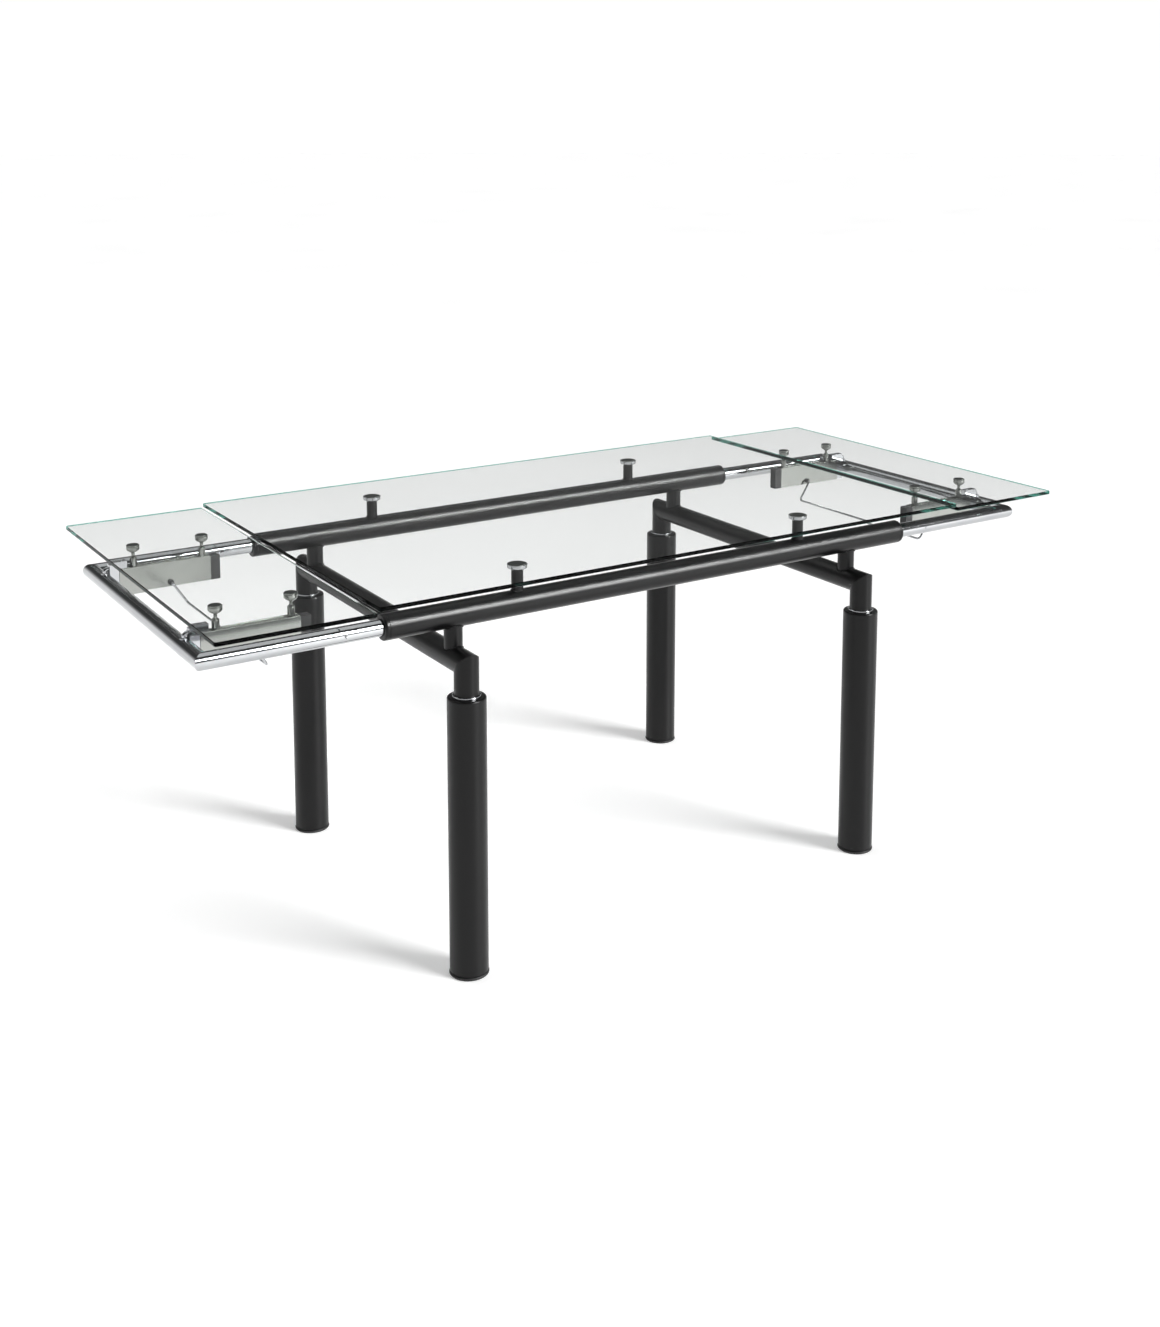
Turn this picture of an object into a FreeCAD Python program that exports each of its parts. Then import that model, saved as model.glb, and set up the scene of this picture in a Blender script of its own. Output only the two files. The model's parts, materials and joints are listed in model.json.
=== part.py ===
import FreeCAD, Part
import os
import Sketcher

# Extendable glass dining table. Millimetres, +X along the table, +Y across it, +Z up.
# The origin is on the floor under the middle of the table. "right" is +X, "far" is +Y.
# Stored position: both leaves drawn out and lowered onto their stops, one pane below the top.

DIMENSIONS = {
    # glass
    "table_length": 2000,
    "table_width": 900,
    "top_height": 775,
    "glass_thickness": 8,
    "glass_corner": 5,
    "glass_arris": 1,
    "middle_length": 1402,
    "seam_gap": 2,
    "leaf_clearance": 1,
    # legs
    "leg_spacing_long": 981,
    "leg_spacing_cross": 752,
    "leg_radius": 37.5,
    "leg_wall": 2.5,
    "leg_top": 550,
    "cap_height": 8,
    "cap_round": 6,
    "cap_spigot": 22,
    "collar_width": 3.5,
    "collar_height": 4,
    "neck_radius": 24,
    "neck_wall": 2,
    "neck_insert": 40,
    "crossbar_height": 611,
    # feet
    "foot_radius": 38.5,
    "foot_thickness": 6,
    "foot_round": 2,
    "foot_gap": 2,
    "stud_radius": 5,
    "stud_length": 38,
    "insert_length": 28,
    "running_clearance": 0.05,
    # rails and middle pane supports
    "rail_radius": 25,
    "rail_wall": 2,
    "rail_length": 1280,
    "rail_spacing": 650,
    "rail_height": 694,
    "bush_flange": 9,
    "bush_round": 5,
    "bush_spigot": 110,
    "post_radius": 18,
    "post_wall": 2.5,
    "puck_spacing": 700,
    "puck_radius": 20,
    "puck_height": 10,
    "puck_base_radius": 14,
    "stem_radius": 11.8,
    # sliding carriages
    "rod_radius": 16,
    "rod_wall": 1.5,
    "end_bar_inset": 19,
    "rod_hold": 160,
    "glide_length": 40,
    "glide_clearance": 0.1,
    # lift housings
    "housing_gap": 27,
    "housing_length": 210,
    "housing_width": 20,
    "housing_depth": 50,
    "housing_wall": 2,
    "housing_top": 712,
    "housing_spacing": 477,
    "end_cap_length": 20,
    "end_cap_plug": 6,
    "block_width": 16,
    "block_height": 16,
    "block_plug": 10,
    "stay_radius": 4,
    # lift pins
    "pin_inset": 35,
    "pin_spacing": 143.5,
    "pin_radius": 7.2,
    "pin_neck_radius": 3.4,
    "pin_neck_length": 5.5,
    "head_radius": 13.3,
    "head_height": 11,
    "cone_height": 8,
    "lift_bar_width": 14,
    "lift_bar_depth": 8,
    "lift_bar_margin": 8,
    # lift handles
    "pivot_inset": 106,
    "pivot_clearance": 1,
    "wire_radius": 2.5,
    "handle_drop": 56,
    "handle_tilt": 34,
    "handle_span": 436,
    "handle_bend": 9,
    "pivot_bend": 7,
    "bush_radius": 6,
    "bush_stand_off": 3,
    "bush_inside": 2,
    "knob_radius": 3.4,
    "knob_gap": 0.3,
    "cam_offset": 12,
    "cam_tip_radius": 4,
    "cam_hub_radius": 5,
    "cam_width": 10,
    "cam_low_angle": 10,
    "cam_gap": 1,
}

document = FreeCAD.newDocument("extendable_table")
sheet = document.addObject("Spreadsheet::Sheet", "Dims")
for row, (alias, value) in enumerate(DIMENSIONS.items(), start=1):
    sheet.set(f"A{row}", alias)
    sheet.set(f"B{row}", str(value))
    sheet.setAlias(f"B{row}", alias)
document.recompute()

SPAN = 400
TURNS = {
    "X": FreeCAD.Rotation(FreeCAD.Vector(0, 1, 0), 90),
    "Y": FreeCAD.Rotation(FreeCAD.Vector(1, 0, 0), -90),
    "Z": FreeCAD.Rotation(),
}
SIDES = {"left": -1, "right": 1}
ROWS = {"near": -1, "far": 1}
nodes = {}


def resolve(text):
    """Turn $alias into a reference to the sheet's cell of that name."""
    text = str(text)
    for alias in sorted(DIMENSIONS, key=len, reverse=True):
        text = text.replace(f"${alias}", f"Dims.{alias}")
    return text


def value_of(text):
    """The present value of an expression over the sheet."""
    answer = sheet.evalExpression(resolve(text))
    return float(getattr(answer, "Value", answer))


def bind(thing, prop, text):
    thing.setExpression(prop, resolve(text))


def place(thing, at, rotation=FreeCAD.Rotation()):
    """Turn a sub-part and bind its place to three expressions."""
    thing.Placement = FreeCAD.Placement(FreeCAD.Vector(), rotation)
    for axis, text in zip("xyz", at):
        bind(thing, f"Placement.Base.{axis}", text)
    return thing


def cylinder(name, radius, length, axis, at):
    thing = document.addObject("Part::Cylinder", name)
    bind(thing, "Radius", radius)
    bind(thing, "Height", length)
    return place(thing, at, TURNS[axis])


def box(name, size, at, rotation=FreeCAD.Rotation()):
    thing = document.addObject("Part::Box", name)
    for prop, text in zip(("Length", "Width", "Height"), size):
        bind(thing, prop, text)
    return place(thing, at, rotation)


def cut(name, base, tool):
    thing = document.addObject("Part::Cut", name)
    thing.Base = base
    thing.Tool = tool
    return thing


def fuse(name, *pieces):
    thing = document.addObject("Part::MultiFuse", name)
    thing.Shapes = list(pieces)
    return thing


def half_space(name, point, normal):
    """A large box on the side of a plane through a point that the normal faces."""
    turn = FreeCAD.Rotation(FreeCAD.Vector(0, 0, 1), FreeCAD.Vector(*normal))
    shift = turn.multVec(FreeCAD.Vector(-SPAN / 2, -SPAN / 2, 0))
    at = [f"{text} + ({offset:.6f})" for text, offset in zip(point, shift)]
    return box(name, (SPAN, SPAN, SPAN), at, turn)


def tube(name, radius, wall, length, axis, at):
    """A round tube: a cylinder less a bore that runs past both ends."""
    outer = cylinder(f"{name}_outer", radius, length, axis, at)
    start = list(at)
    start["XYZ".index(axis)] += " - 1"
    bore = cylinder(f"{name}_bore", f"{radius} - ({wall})", f"{length} + 2", axis, start)
    return cut(f"{name}_tube", outer, bore)


def node(label, *pieces):
    """Register a sub-part: one piece, or a group of separate identical solids."""
    thing = pieces[0]
    if len(pieces) > 1:
        thing = document.addObject("Part::Compound", f"{label}_group")
        thing.Links = list(pieces)
    thing.Label = label
    nodes[label] = thing


def pair_of_nodes(label, *pieces):
    """Register right-hand pieces and their mirror images for the left-hand end."""
    node(f"right_{label}", *pieces)
    images = []
    for piece in pieces:
        image = document.addObject("Part::Mirroring", f"{piece.Name}_mirrored")
        image.Source = piece
        image.Normal = FreeCAD.Vector(1, 0, 0)
        images.append(image)
    node(f"left_{label}", *images)


def sketch_on(body, name, role):
    sketch = body.newObject("Sketcher::SketchObject", name)
    plane = next(f for f in body.Origin.OriginFeatures if f.Role == role)
    sketch.AttachmentSupport = (plane, [""])
    sketch.MapMode = "FlatFace"
    return sketch


def polygon(sketch, corners):
    """A closed profile in the positive quadrant, its corners held at expressions."""
    points = [FreeCAD.Vector(value_of(x), value_of(y), 0) for x, y in corners]
    count = len(points)
    for i, point in enumerate(points):
        sketch.addGeometry(Part.LineSegment(point, points[(i + 1) % count]), False)
    for i in range(count):
        sketch.addConstraint(Sketcher.Constraint("Coincident", i, 2, (i + 1) % count, 1))
    for i, corner in enumerate(corners):
        for kind, text, start, axis in zip(("DistanceX", "DistanceY"), corner, points[i], (-2, -1)):
            if text == "0":
                sketch.addConstraint(Sketcher.Constraint("PointOnObject", i, 1, axis))
            else:
                held = Sketcher.Constraint(kind, -1, 1, i, 1, start)
                index = sketch.addConstraint(held)
                bind(sketch, f"Constraints[{index}]", text)


def revolved(name, corners, at, rotation=FreeCAD.Rotation()):
    """A body turned about its own Z axis from (radius, height) corners."""
    body = document.addObject("PartDesign::Body", name)
    sketch = sketch_on(body, f"{name}_profile", "XZ_Plane")
    polygon(sketch, corners)
    turn = body.newObject("PartDesign::Revolution", f"{name}_turn")
    turn.Profile = sketch
    turn.ReferenceAxis = (sketch, ["V_Axis"])
    turn.Angle = 360
    body.Tip = turn
    return place(body, at, rotation)


def dressed(body, name, size, test, kind="Fillet"):
    """Fillet or chamfer those edges of a body's tip that a test picks out."""
    document.recompute()
    tip = body.Tip
    edges = [f"Edge{i}" for i, edge in enumerate(tip.Shape.Edges, 1) if test(edge)]
    feature = body.newObject(f"PartDesign::{kind}", name)
    feature.Base = (tip, edges)
    bind(feature, "Radius" if kind == "Fillet" else "Size", size)
    body.Tip = feature
    return body


def ring_edge(radius, height):
    """Pick the full circle of a given radius at a given height of a body."""
    wanted = (value_of(radius), value_of(height))

    def test(edge):
        if not isinstance(edge.Curve, Part.Circle):
            return False
        found = (edge.Curve.Radius, edge.Curve.Center.z)
        return max(abs(a - b) for a, b in zip(wanted, found)) < 1e-4
    return test


def upright_edge(edge):
    return edge.Vertexes[0].Z != edge.Vertexes[-1].Z and len(edge.Vertexes) == 2


def level_edge(edge):
    return abs(edge.Vertexes[0].Z - edge.Vertexes[-1].Z) < 1e-6


def pane(name, length, at):
    """A glass pane: a padded outline with rounded corners and arrissed rims."""
    body = document.addObject("PartDesign::Body", name)
    sketch = sketch_on(body, f"{name}_outline", "XY_Plane")
    polygon(sketch, [("0", "0"), (length, "0"), (length, "$table_width"),
                     ("0", "$table_width")])
    pad = body.newObject("PartDesign::Pad", f"{name}_pad")
    pad.Profile = sketch
    bind(pad, "Length", "$glass_thickness")
    body.Tip = pad
    dressed(body, f"{name}_corners", "$glass_corner", upright_edge)
    dressed(body, f"{name}_arris", "$glass_arris", level_edge, "Chamfer")
    return place(body, at)


# ---- glass panes ---------------------------------------------------------------------
leaf_length = "(($table_length - $middle_length) / 2 - $seam_gap)"
lift_travel = "($glass_thickness + $leaf_clearance)"
leaf_under = f"($top_height - {lift_travel} - $glass_thickness)"
leaf_start = "($middle_length / 2 + $seam_gap)"
node("middle_glass", pane("middle_pane", "$middle_length",
                          ("-$middle_length / 2", "-$table_width / 2",
                           "$top_height - $glass_thickness")))
for side, start in {"left": "-$table_length / 2", "right": leaf_start}.items():
    node(f"{side}_leaf_glass", pane(f"{side}_pane", leaf_length,
                                    (start, "-$table_width / 2", leaf_under)))

# ---- legs, feet, necks and crossbars ---------------------------------------------------
leg_foot = "($foot_thickness + $foot_gap)"
tube_top = "($leg_top - $cap_height)"
neck_foot = f"({tube_top} - $neck_insert)"
caps, collars, inserts = [], [], []
for side, sx in SIDES.items():
    leg_x = f"{sx} * $leg_spacing_long / 2"
    bar_length = "($leg_spacing_cross + 2 * $neck_radius)"
    crossbar = tube(f"bar_{side}", "$neck_radius", "$neck_wall", bar_length, "Y",
                    (leg_x, f"-{bar_length} / 2", "$crossbar_height"))
    for row, sy in ROWS.items():
        tag = f"{side}_{row}"
        leg_y = f"{sy} * $leg_spacing_cross / 2"
        node(f"leg_tube_{tag}", tube(f"leg_{tag}", "$leg_radius", "$leg_wall",
                                     f"({tube_top} - {leg_foot})", "Z",
                                     (leg_x, leg_y, leg_foot)))
        cap = revolved(f"cap_{tag}", [
            ("$neck_radius", "0"),
            ("$leg_radius - $leg_wall", "0"),
            ("$leg_radius - $leg_wall", "$cap_spigot"),
            ("$leg_radius", "$cap_spigot"),
            ("$leg_radius", "$cap_spigot + $cap_height"),
            ("$neck_radius", "$cap_spigot + $cap_height"),
        ], (leg_x, leg_y, f"{tube_top} - $cap_spigot"))
        cap_rim = ring_edge("$leg_radius", "$cap_spigot + $cap_height")
        caps.append(dressed(cap, f"cap_{tag}_round", "$cap_round", cap_rim))
        collar = revolved(f"collar_{tag}", [
            ("$neck_radius", "0"),
            ("$neck_radius + $collar_width", "0"),
            ("$neck_radius + $collar_width", "$collar_height"),
            ("$neck_radius", "$collar_height"),
        ], (leg_x, leg_y, "$leg_top"))
        collar_rim = ring_edge("$neck_radius + $collar_width", "$collar_height")
        collars.append(dressed(collar, f"collar_{tag}_round", "$collar_height / 2", collar_rim))
        inserts.append(tube(f"insert_{tag}", "($leg_radius - $leg_wall)",
                            "$leg_radius - $leg_wall - $stud_radius - $running_clearance",
                            "$insert_length", "Z", (leg_x, leg_y, leg_foot)))
        foot = revolved(f"levelling_{tag}", [
            ("0", "0"),
            ("$foot_radius", "0"),
            ("$foot_radius", "$foot_thickness"),
            ("$stud_radius", "$foot_thickness"),
            ("$stud_radius", "$foot_thickness + $stud_length"),
            ("0", "$foot_thickness + $stud_length"),
        ], (leg_x, leg_y, "0"))
        foot_rim = ring_edge("$foot_radius", "$foot_thickness")
        node(f"foot_{tag}", dressed(foot, f"levelling_{tag}_round", "$foot_round", foot_rim))
        # The neck and the crossbar meet in a mitre through the point where their axes cross.
        corner = (leg_x, leg_y, "$crossbar_height")
        neck = tube(f"neck_{tag}", "$neck_radius", "$neck_wall",
                    f"($crossbar_height + $neck_radius - {neck_foot})", "Z",
                    (leg_x, leg_y, neck_foot))
        node(f"leg_neck_{tag}", cut(f"neck_{tag}_mitred", neck,
                                    half_space(f"neck_{tag}_waste", corner, (0, -sy, 1))))
        crossbar = cut(f"bar_{tag}_mitred", crossbar,
                       half_space(f"bar_{tag}_waste", corner, (0, sy, -1)))
    node(f"crossbar_{side}", crossbar)
node("leg_caps", *caps)
node("leg_collars", *collars)
node("foot_inserts", *inserts)

# ---- rails, posts, stems and pucks under the middle pane --------------------------------
rail_tube = "($rail_length - 2 * $bush_flange)"
puck_foot = "($top_height - $glass_thickness - $puck_height)"
bushes, stems, pucks = [], [], []
for row, sy in ROWS.items():
    y = f"{sy} * $rail_spacing / 2"
    node(f"rail_{row}", tube(f"support_{row}", "$rail_radius", "$rail_wall", rail_tube, "X",
                             (f"-{rail_tube} / 2", y, "$rail_height")))
    for side, sx in SIDES.items():
        tag = f"{side}_{row}"
        bush = revolved(f"bush_{tag}", [
            ("$rod_radius + $running_clearance", "0"),
            ("$rail_radius - $rail_wall", "0"),
            ("$rail_radius - $rail_wall", "$bush_spigot"),
            ("$rail_radius", "$bush_spigot"),
            ("$rail_radius", "$bush_spigot + $bush_flange"),
            ("$rod_radius + $running_clearance", "$bush_spigot + $bush_flange"),
        ], (f"{sx} * ({rail_tube} / 2 - $bush_spigot)", y, "$rail_height"),
            FreeCAD.Rotation(FreeCAD.Vector(0, 1, 0), 90 * sx))
        bush_rim = ring_edge("$rail_radius", "$bush_spigot + $bush_flange")
        bushes.append(dressed(bush, f"bush_{tag}_round", "$bush_round", bush_rim))
        # Each post stands on the crossbar and carries the rail; both tubes cope its ends.
        leg_x = f"{sx} * $leg_spacing_long / 2"
        post = tube(f"post_{tag}", "$post_radius", "$post_wall",
                    "($rail_height - $crossbar_height)", "Z", (leg_x, y, "$crossbar_height"))
        rail_room = cylinder(f"post_{tag}_rail", "$rail_radius", "$rail_length", "X",
                             ("-$rail_length / 2", y, "$rail_height"))
        bar_room = cylinder(f"post_{tag}_bar", "$neck_radius", "$leg_spacing_cross", "Y",
                            (leg_x, "-$leg_spacing_cross / 2", "$crossbar_height"))
        node(f"rail_post_{tag}", cut(f"post_{tag}_coped", post,
                                     fuse(f"post_{tag}_room", rail_room, bar_room)))
        stem_x = f"{sx} * $puck_spacing / 2"
        stem = cylinder(f"stem_{tag}", "$stem_radius", f"{puck_foot} - $rail_height", "Z",
                        (stem_x, y, "$rail_height"))
        stem_room = cylinder(f"stem_{tag}_rail", "$rail_radius", "$rail_length", "X",
                             ("-$rail_length / 2", y, "$rail_height"))
        stems.append(cut(f"stem_{tag}_coped", stem, stem_room))
        pucks.append(revolved(f"puck_{tag}", [
            ("0", "0"),
            ("$puck_base_radius", "0"),
            ("$puck_radius", "$puck_height * 0.4"),
            ("$puck_radius", "$puck_height"),
            ("0", "$puck_height"),
        ], (stem_x, y, puck_foot)))
node("rail_bushes", *bushes)
node("middle_stems", *stems)
node("middle_pucks", *pucks)

# ---- carriages, leaf lifts and handles: right-hand pieces, mirrored for the left ---------
rod_start = "($rail_length / 2 - $rod_hold)"
outer_bar = "($table_length / 2 - $end_bar_inset)"
housing_end = f"({outer_bar} - $housing_gap)"
housing_start = f"({housing_end} - $housing_length)"
shell_start = f"({housing_start} + $end_cap_length)"
housing_floor = "($housing_top - $housing_depth)"
pin_start = f"({housing_start} + $pin_inset)"
pivot_place = f"({housing_start} + $pivot_inset)"
pivot_height = f"({housing_floor} + $housing_wall + $bush_radius + $pivot_clearance)"
bore_width = "($housing_width - 2 * $housing_wall)"
bore_depth = "($housing_depth - 2 * $housing_wall)"
bar_under = (f"({pivot_height} + $cam_offset * sin($cam_low_angle)"
             " + $cam_tip_radius + $cam_gap)")
bar_over = f"({bar_under} + $lift_bar_depth)"
block_start = f"({housing_end} - $block_width)"
end_bar_length = "($rail_spacing + 2 * $rod_radius)"
end_bar = tube("end_rail", "$rod_radius", "$rod_wall", end_bar_length, "Y",
               (outer_bar, f"-{end_bar_length} / 2", "$rail_height"))
glides, end_caps, blocks, stays, pivot_bushes = [], [], [], [], []
lift_bars, pins, heads, cams, wire = [], [], [], [], []
for row, sy in ROWS.items():
    y_rail = f"{sy} * $rail_spacing / 2"
    y_house = f"{sy} * $housing_spacing / 2"
    inner_face = f"{y_house} - {sy} * $housing_width / 2"
    outer_face = f"{y_house} + {sy} * $housing_width / 2"
    # Slide rod and end bar meet in a mitre and make one rigid U.
    corner = (outer_bar, y_rail, "$rail_height")
    rod = tube(f"rod_{row}", "$rod_radius", "$rod_wall",
               f"({outer_bar} + $rod_radius - {rod_start})", "X",
               (rod_start, y_rail, "$rail_height"))
    pair_of_nodes(f"slide_rod_{row}", cut(f"rod_{row}_mitred", rod,
                                          half_space(f"rod_{row}_waste", corner, (1, -sy, 0))))
    end_bar = cut(f"end_rail_{row}_mitred", end_bar,
                  half_space(f"end_rail_{row}_waste", corner, (-1, sy, 0)))
    glide_radius = "($rail_radius - $rail_wall - $glide_clearance)"
    glides.append(tube(f"glide_{row}", glide_radius, f"{glide_radius} - $rod_radius",
                       "$glide_length", "X", (rod_start, y_rail, "$rail_height")))

    # Housing: a hollow box beam with two pin holes in its top and a pivot hole across it.
    y_low = f"{y_house} - $housing_width / 2"
    shell = box(f"shell_{row}", (f"$housing_length - $end_cap_length", "$housing_width",
                                 "$housing_depth"), (shell_start, y_low, housing_floor))
    hollow = box(f"shell_{row}_hollow", ("$housing_length", bore_width, bore_depth),
                 (housing_start, f"{y_low} + $housing_wall",
                  f"{housing_floor} + $housing_wall"))
    holes = [cylinder(f"shell_{row}_hole_{i}", "$pin_radius + $running_clearance",
                      "2 * $housing_wall", "Z",
                      (f"{pin_start} + {i} * $pin_spacing", y_house,
                       "$housing_top - 1.5 * $housing_wall")) for i in range(2)]
    pivot_hole = cylinder(f"shell_{row}_pivot", "$bush_radius", "$housing_width + 2", "Y",
                          (pivot_place, f"{y_low} - 1", pivot_height))
    pair_of_nodes(f"housing_{row}", cut(f"shell_{row}_finished", shell,
                                        fuse(f"shell_{row}_room", hollow, pivot_hole, *holes)))

    cap = box(f"end_cap_{row}", ("$end_cap_length", "$housing_width", "$housing_depth"),
              (housing_start, y_low, housing_floor))
    plug = box(f"end_cap_{row}_plug", ("$end_cap_plug + 1", bore_width, bore_depth),
               (f"{shell_start} - 1", f"{y_low} + $housing_wall",
                f"{housing_floor} + $housing_wall"))
    end_caps.append(fuse(f"end_cap_{row}_whole", cap, plug))

    # End block: closes the housing, stands up over its end and saddles the end bar.
    block_y = f"{y_house} - $block_width / 2"
    block_over = "($housing_top + $block_height)"
    saddle = box(f"block_{row}_saddle", (f"{outer_bar} - {housing_end}", "$block_width",
                                         f"{block_over} - {housing_floor}"),
                 (housing_end, block_y, housing_floor))
    lug = box(f"block_{row}_lug", ("$block_width + 1", "$block_width", "$block_height"),
              (block_start, block_y, "$housing_top"))
    tail = box(f"block_{row}_tail", ("$block_plug + 1", bore_width, bore_depth),
               (f"{housing_end} - $block_plug", f"{y_low} + $housing_wall",
                f"{housing_floor} + $housing_wall"))
    bar_room = cylinder(f"block_{row}_bar", "$rod_radius", "2 * $block_width", "Y",
                        (outer_bar, f"{y_house} - $block_width", "$rail_height"))
    beyond = box(f"block_{row}_beyond", ("$rod_radius", "2 * $block_width",
                                         f"{block_over} - {housing_floor} + 2"),
                 (f"{outer_bar} - $rod_radius / 2", f"{y_house} - $block_width",
                  f"{housing_floor} - 1"))
    stay_height = "($housing_top + $block_height / 2)"
    stay_bore = cylinder(f"block_{row}_bore", "$stay_radius", f"{outer_bar} - {block_start}",
                         "X", (f"{block_start} + $stay_radius", y_house, stay_height))
    blocks.append(cut(f"block_{row}_whole", fuse(f"block_{row}_solid", saddle, lug, tail),
                      fuse(f"block_{row}_room", bar_room, beyond, stay_bore)))

    # Stay: a round bar from the end block over to the end bar, bent down onto it.
    reach = cylinder(f"stay_{row}_reach", "$stay_radius",
                     f"{outer_bar} - {block_start} - $stay_radius", "X",
                     (f"{block_start} + $stay_radius", y_house, stay_height))
    drop = cylinder(f"stay_{row}_drop", "$stay_radius", f"{stay_height} - $rail_height", "Z",
                    (outer_bar, y_house, "$rail_height"))
    elbow = document.addObject("Part::Sphere", f"stay_{row}_elbow")
    bind(elbow, "Radius", "$stay_radius")
    place(elbow, (outer_bar, y_house, stay_height))
    bar_core = cylinder(f"stay_{row}_bar", "$rod_radius", "4 * $stay_radius", "Y",
                        (outer_bar, f"{y_house} - 2 * $stay_radius", "$rail_height"))
    stays.append(cut(f"stay_{row}_whole", fuse(f"stay_{row}_solid", reach, drop, elbow),
                     bar_core))

    # Pivot bushes through both walls of the housing.
    bush_length = "($bush_stand_off + $housing_wall + $bush_inside)"
    first = f"{y_low} - $bush_stand_off"
    second = f"{y_low} + $housing_width + $bush_stand_off - {bush_length}"
    for i, start in enumerate((first, second)):
        pivot_bushes.append(tube(f"pivot_bush_{row}_{i}", "$bush_radius",
                                 "$bush_radius - $wire_radius - $running_clearance",
                                 bush_length, "Y", (pivot_place, start, pivot_height)))

    # Lift bar inside the housing, with a turned pin and a pad head at each end.
    lift_bars.append(box(f"lift_bar_{row}", ("$pin_spacing + 2 * $lift_bar_margin",
                                             "$lift_bar_width", "$lift_bar_depth"),
                         (f"{pin_start} - $lift_bar_margin",
                          f"{y_house} - $lift_bar_width / 2", bar_under)))
    for i in range(2):
        pin_x = f"{pin_start} + {i} * $pin_spacing"
        pin_height = f"({leaf_under} - $head_height - {bar_over})"
        shoulder = f"({pin_height} - $cone_height - $pin_neck_length)"
        pins.append(revolved(f"pin_{row}_{i}", [
            ("0", "0"),
            ("$pin_radius", "0"),
            ("$pin_radius", shoulder),
            ("$pin_neck_radius", shoulder),
            ("$pin_neck_radius", f"{pin_height} - $cone_height"),
            ("$head_radius - 2", pin_height),
            ("0", pin_height),
        ], (pin_x, y_house, bar_over)))
        heads.append(cylinder(f"head_{row}_{i}", "$head_radius", "$head_height", "Z",
                              (pin_x, y_house, f"{leaf_under} - $head_height")))

    # Handle wire, drawn hanging straight down from its pivot axis, then tilted as a whole.
    up, inward = FreeCAD.Vector(0, 0, 1), FreeCAD.Vector(0, -sy, 0)
    arm_y = f"{sy} * $handle_span / 2"
    stub_end = (f"({outer_face} + {sy} * ($bush_stand_off + $knob_gap + $knob_radius))")
    stub_start = f"({arm_y} + {sy} * $pivot_bend)"
    stub_low = stub_start if sy > 0 else stub_end
    wire.append(cylinder(f"wire_{row}_stub", "$wire_radius",
                         f"abs({stub_end} - {stub_start})", "Y", ("0", stub_low, "0")))
    knob = document.addObject("Part::Sphere", f"wire_{row}_knob")
    bind(knob, "Radius", "$knob_radius")
    wire.append(place(knob, ("0", stub_end, "0")))
    wire.append(cylinder(f"wire_{row}_arm", "$wire_radius",
                         "$handle_drop - $pivot_bend - $handle_bend", "Z",
                         ("0", arm_y, "$handle_bend - $handle_drop")))
    bends = {
        "top": ("$pivot_bend", stub_start, "-$pivot_bend", up, inward),
        "foot": ("$handle_bend", f"{arm_y} - {sy} * $handle_bend",
                 "$handle_bend - $handle_drop", -inward, -up),
    }
    for label, (bend, bend_y, bend_z, first_way, second_way) in bends.items():
        elbow = document.addObject("Part::Torus", f"wire_{row}_{label}")
        bind(elbow, "Radius1", bend)
        bind(elbow, "Radius2", "$wire_radius")
        elbow.Angle3 = 90
        turn = FreeCAD.Rotation(first_way, second_way, first_way.cross(second_way), "XYZ")
        wire.append(place(elbow, ("0", bend_y, bend_z), turn))

    # Cam: a hub on the wire with a nose that bears on the lift bar from below.
    cam_y = f"{y_house} - $cam_width / 2"
    nose = (f"{pivot_place} + $cam_offset * cos($cam_low_angle)", cam_y,
            f"{pivot_height} + $cam_offset * sin($cam_low_angle)")
    hub = cylinder(f"cam_{row}_hub", "$cam_hub_radius", "$cam_width", "Y",
                   (pivot_place, cam_y, pivot_height))
    tip = cylinder(f"cam_{row}_tip", "$cam_tip_radius", "$cam_width", "Y", nose)
    tilt = FreeCAD.Rotation(FreeCAD.Vector(0, 1, 0), -value_of("$cam_low_angle"))
    drop_x = "$cam_tip_radius * sin($cam_low_angle)"
    drop_z = "$cam_tip_radius * cos($cam_low_angle)"
    web = box(f"cam_{row}_web", ("$cam_offset", "$cam_width", "2 * $cam_tip_radius"),
              (f"{pivot_place} + {drop_x}", cam_y, f"{pivot_height} - {drop_z}"), tilt)
    cam_bore = cylinder(f"cam_{row}_bore", "$wire_radius", "$cam_width + 2", "Y",
                        (pivot_place, f"{cam_y} - 1", pivot_height))
    cams.append(cut(f"cam_{row}_whole", fuse(f"cam_{row}_solid", hub, tip, web), cam_bore))

cross_length = "($handle_span - 2 * $handle_bend)"
wire.append(cylinder("wire_grip", "$wire_radius", cross_length, "Y",
                     ("0", f"-{cross_length} / 2", "-$handle_drop")))
handle = fuse("handle_wire", *wire)
place(handle, (pivot_place, "0", pivot_height),
      FreeCAD.Rotation(FreeCAD.Vector(0, 1, 0), value_of("$handle_tilt")))

pair_of_nodes("end_bar", end_bar)
pair_of_nodes("rod_glides", *glides)
pair_of_nodes("housing_caps", *end_caps)
pair_of_nodes("end_blocks", *blocks)
pair_of_nodes("stays", *stays)
pair_of_nodes("pivot_bushes", *pivot_bushes)
pair_of_nodes("lift_bars", *lift_bars)
pair_of_nodes("lift_pins", *pins)
pair_of_nodes("leaf_pads", *heads)
pair_of_nodes("handle", handle)
pair_of_nodes("handle_cams", *cams)

# ---- check and write ---------------------------------------------------------------------
document.recompute()
faulty = [f"{o.Name}: {o.State}" for o in document.Objects
          if "Invalid" in o.State or "Error" in o.State]
if faulty:
    raise RuntimeError("features that did not build: " + "; ".join(faulty))
os.makedirs("parts", exist_ok=True)
for label, thing in nodes.items():
    shape = thing.Shape
    if shape.isNull() or not shape.isValid():
        raise RuntimeError(f"{label} has no valid shape")
    if not shape.Solids:
        raise RuntimeError(f"{label} holds no solid")
    shape.exportStep(f"parts/{label}.step")
print(f"{len(nodes)} sub-parts written")
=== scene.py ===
"""Extendable glass dining table: finishes, fine detail, studio and camera."""

from __future__ import annotations

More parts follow.
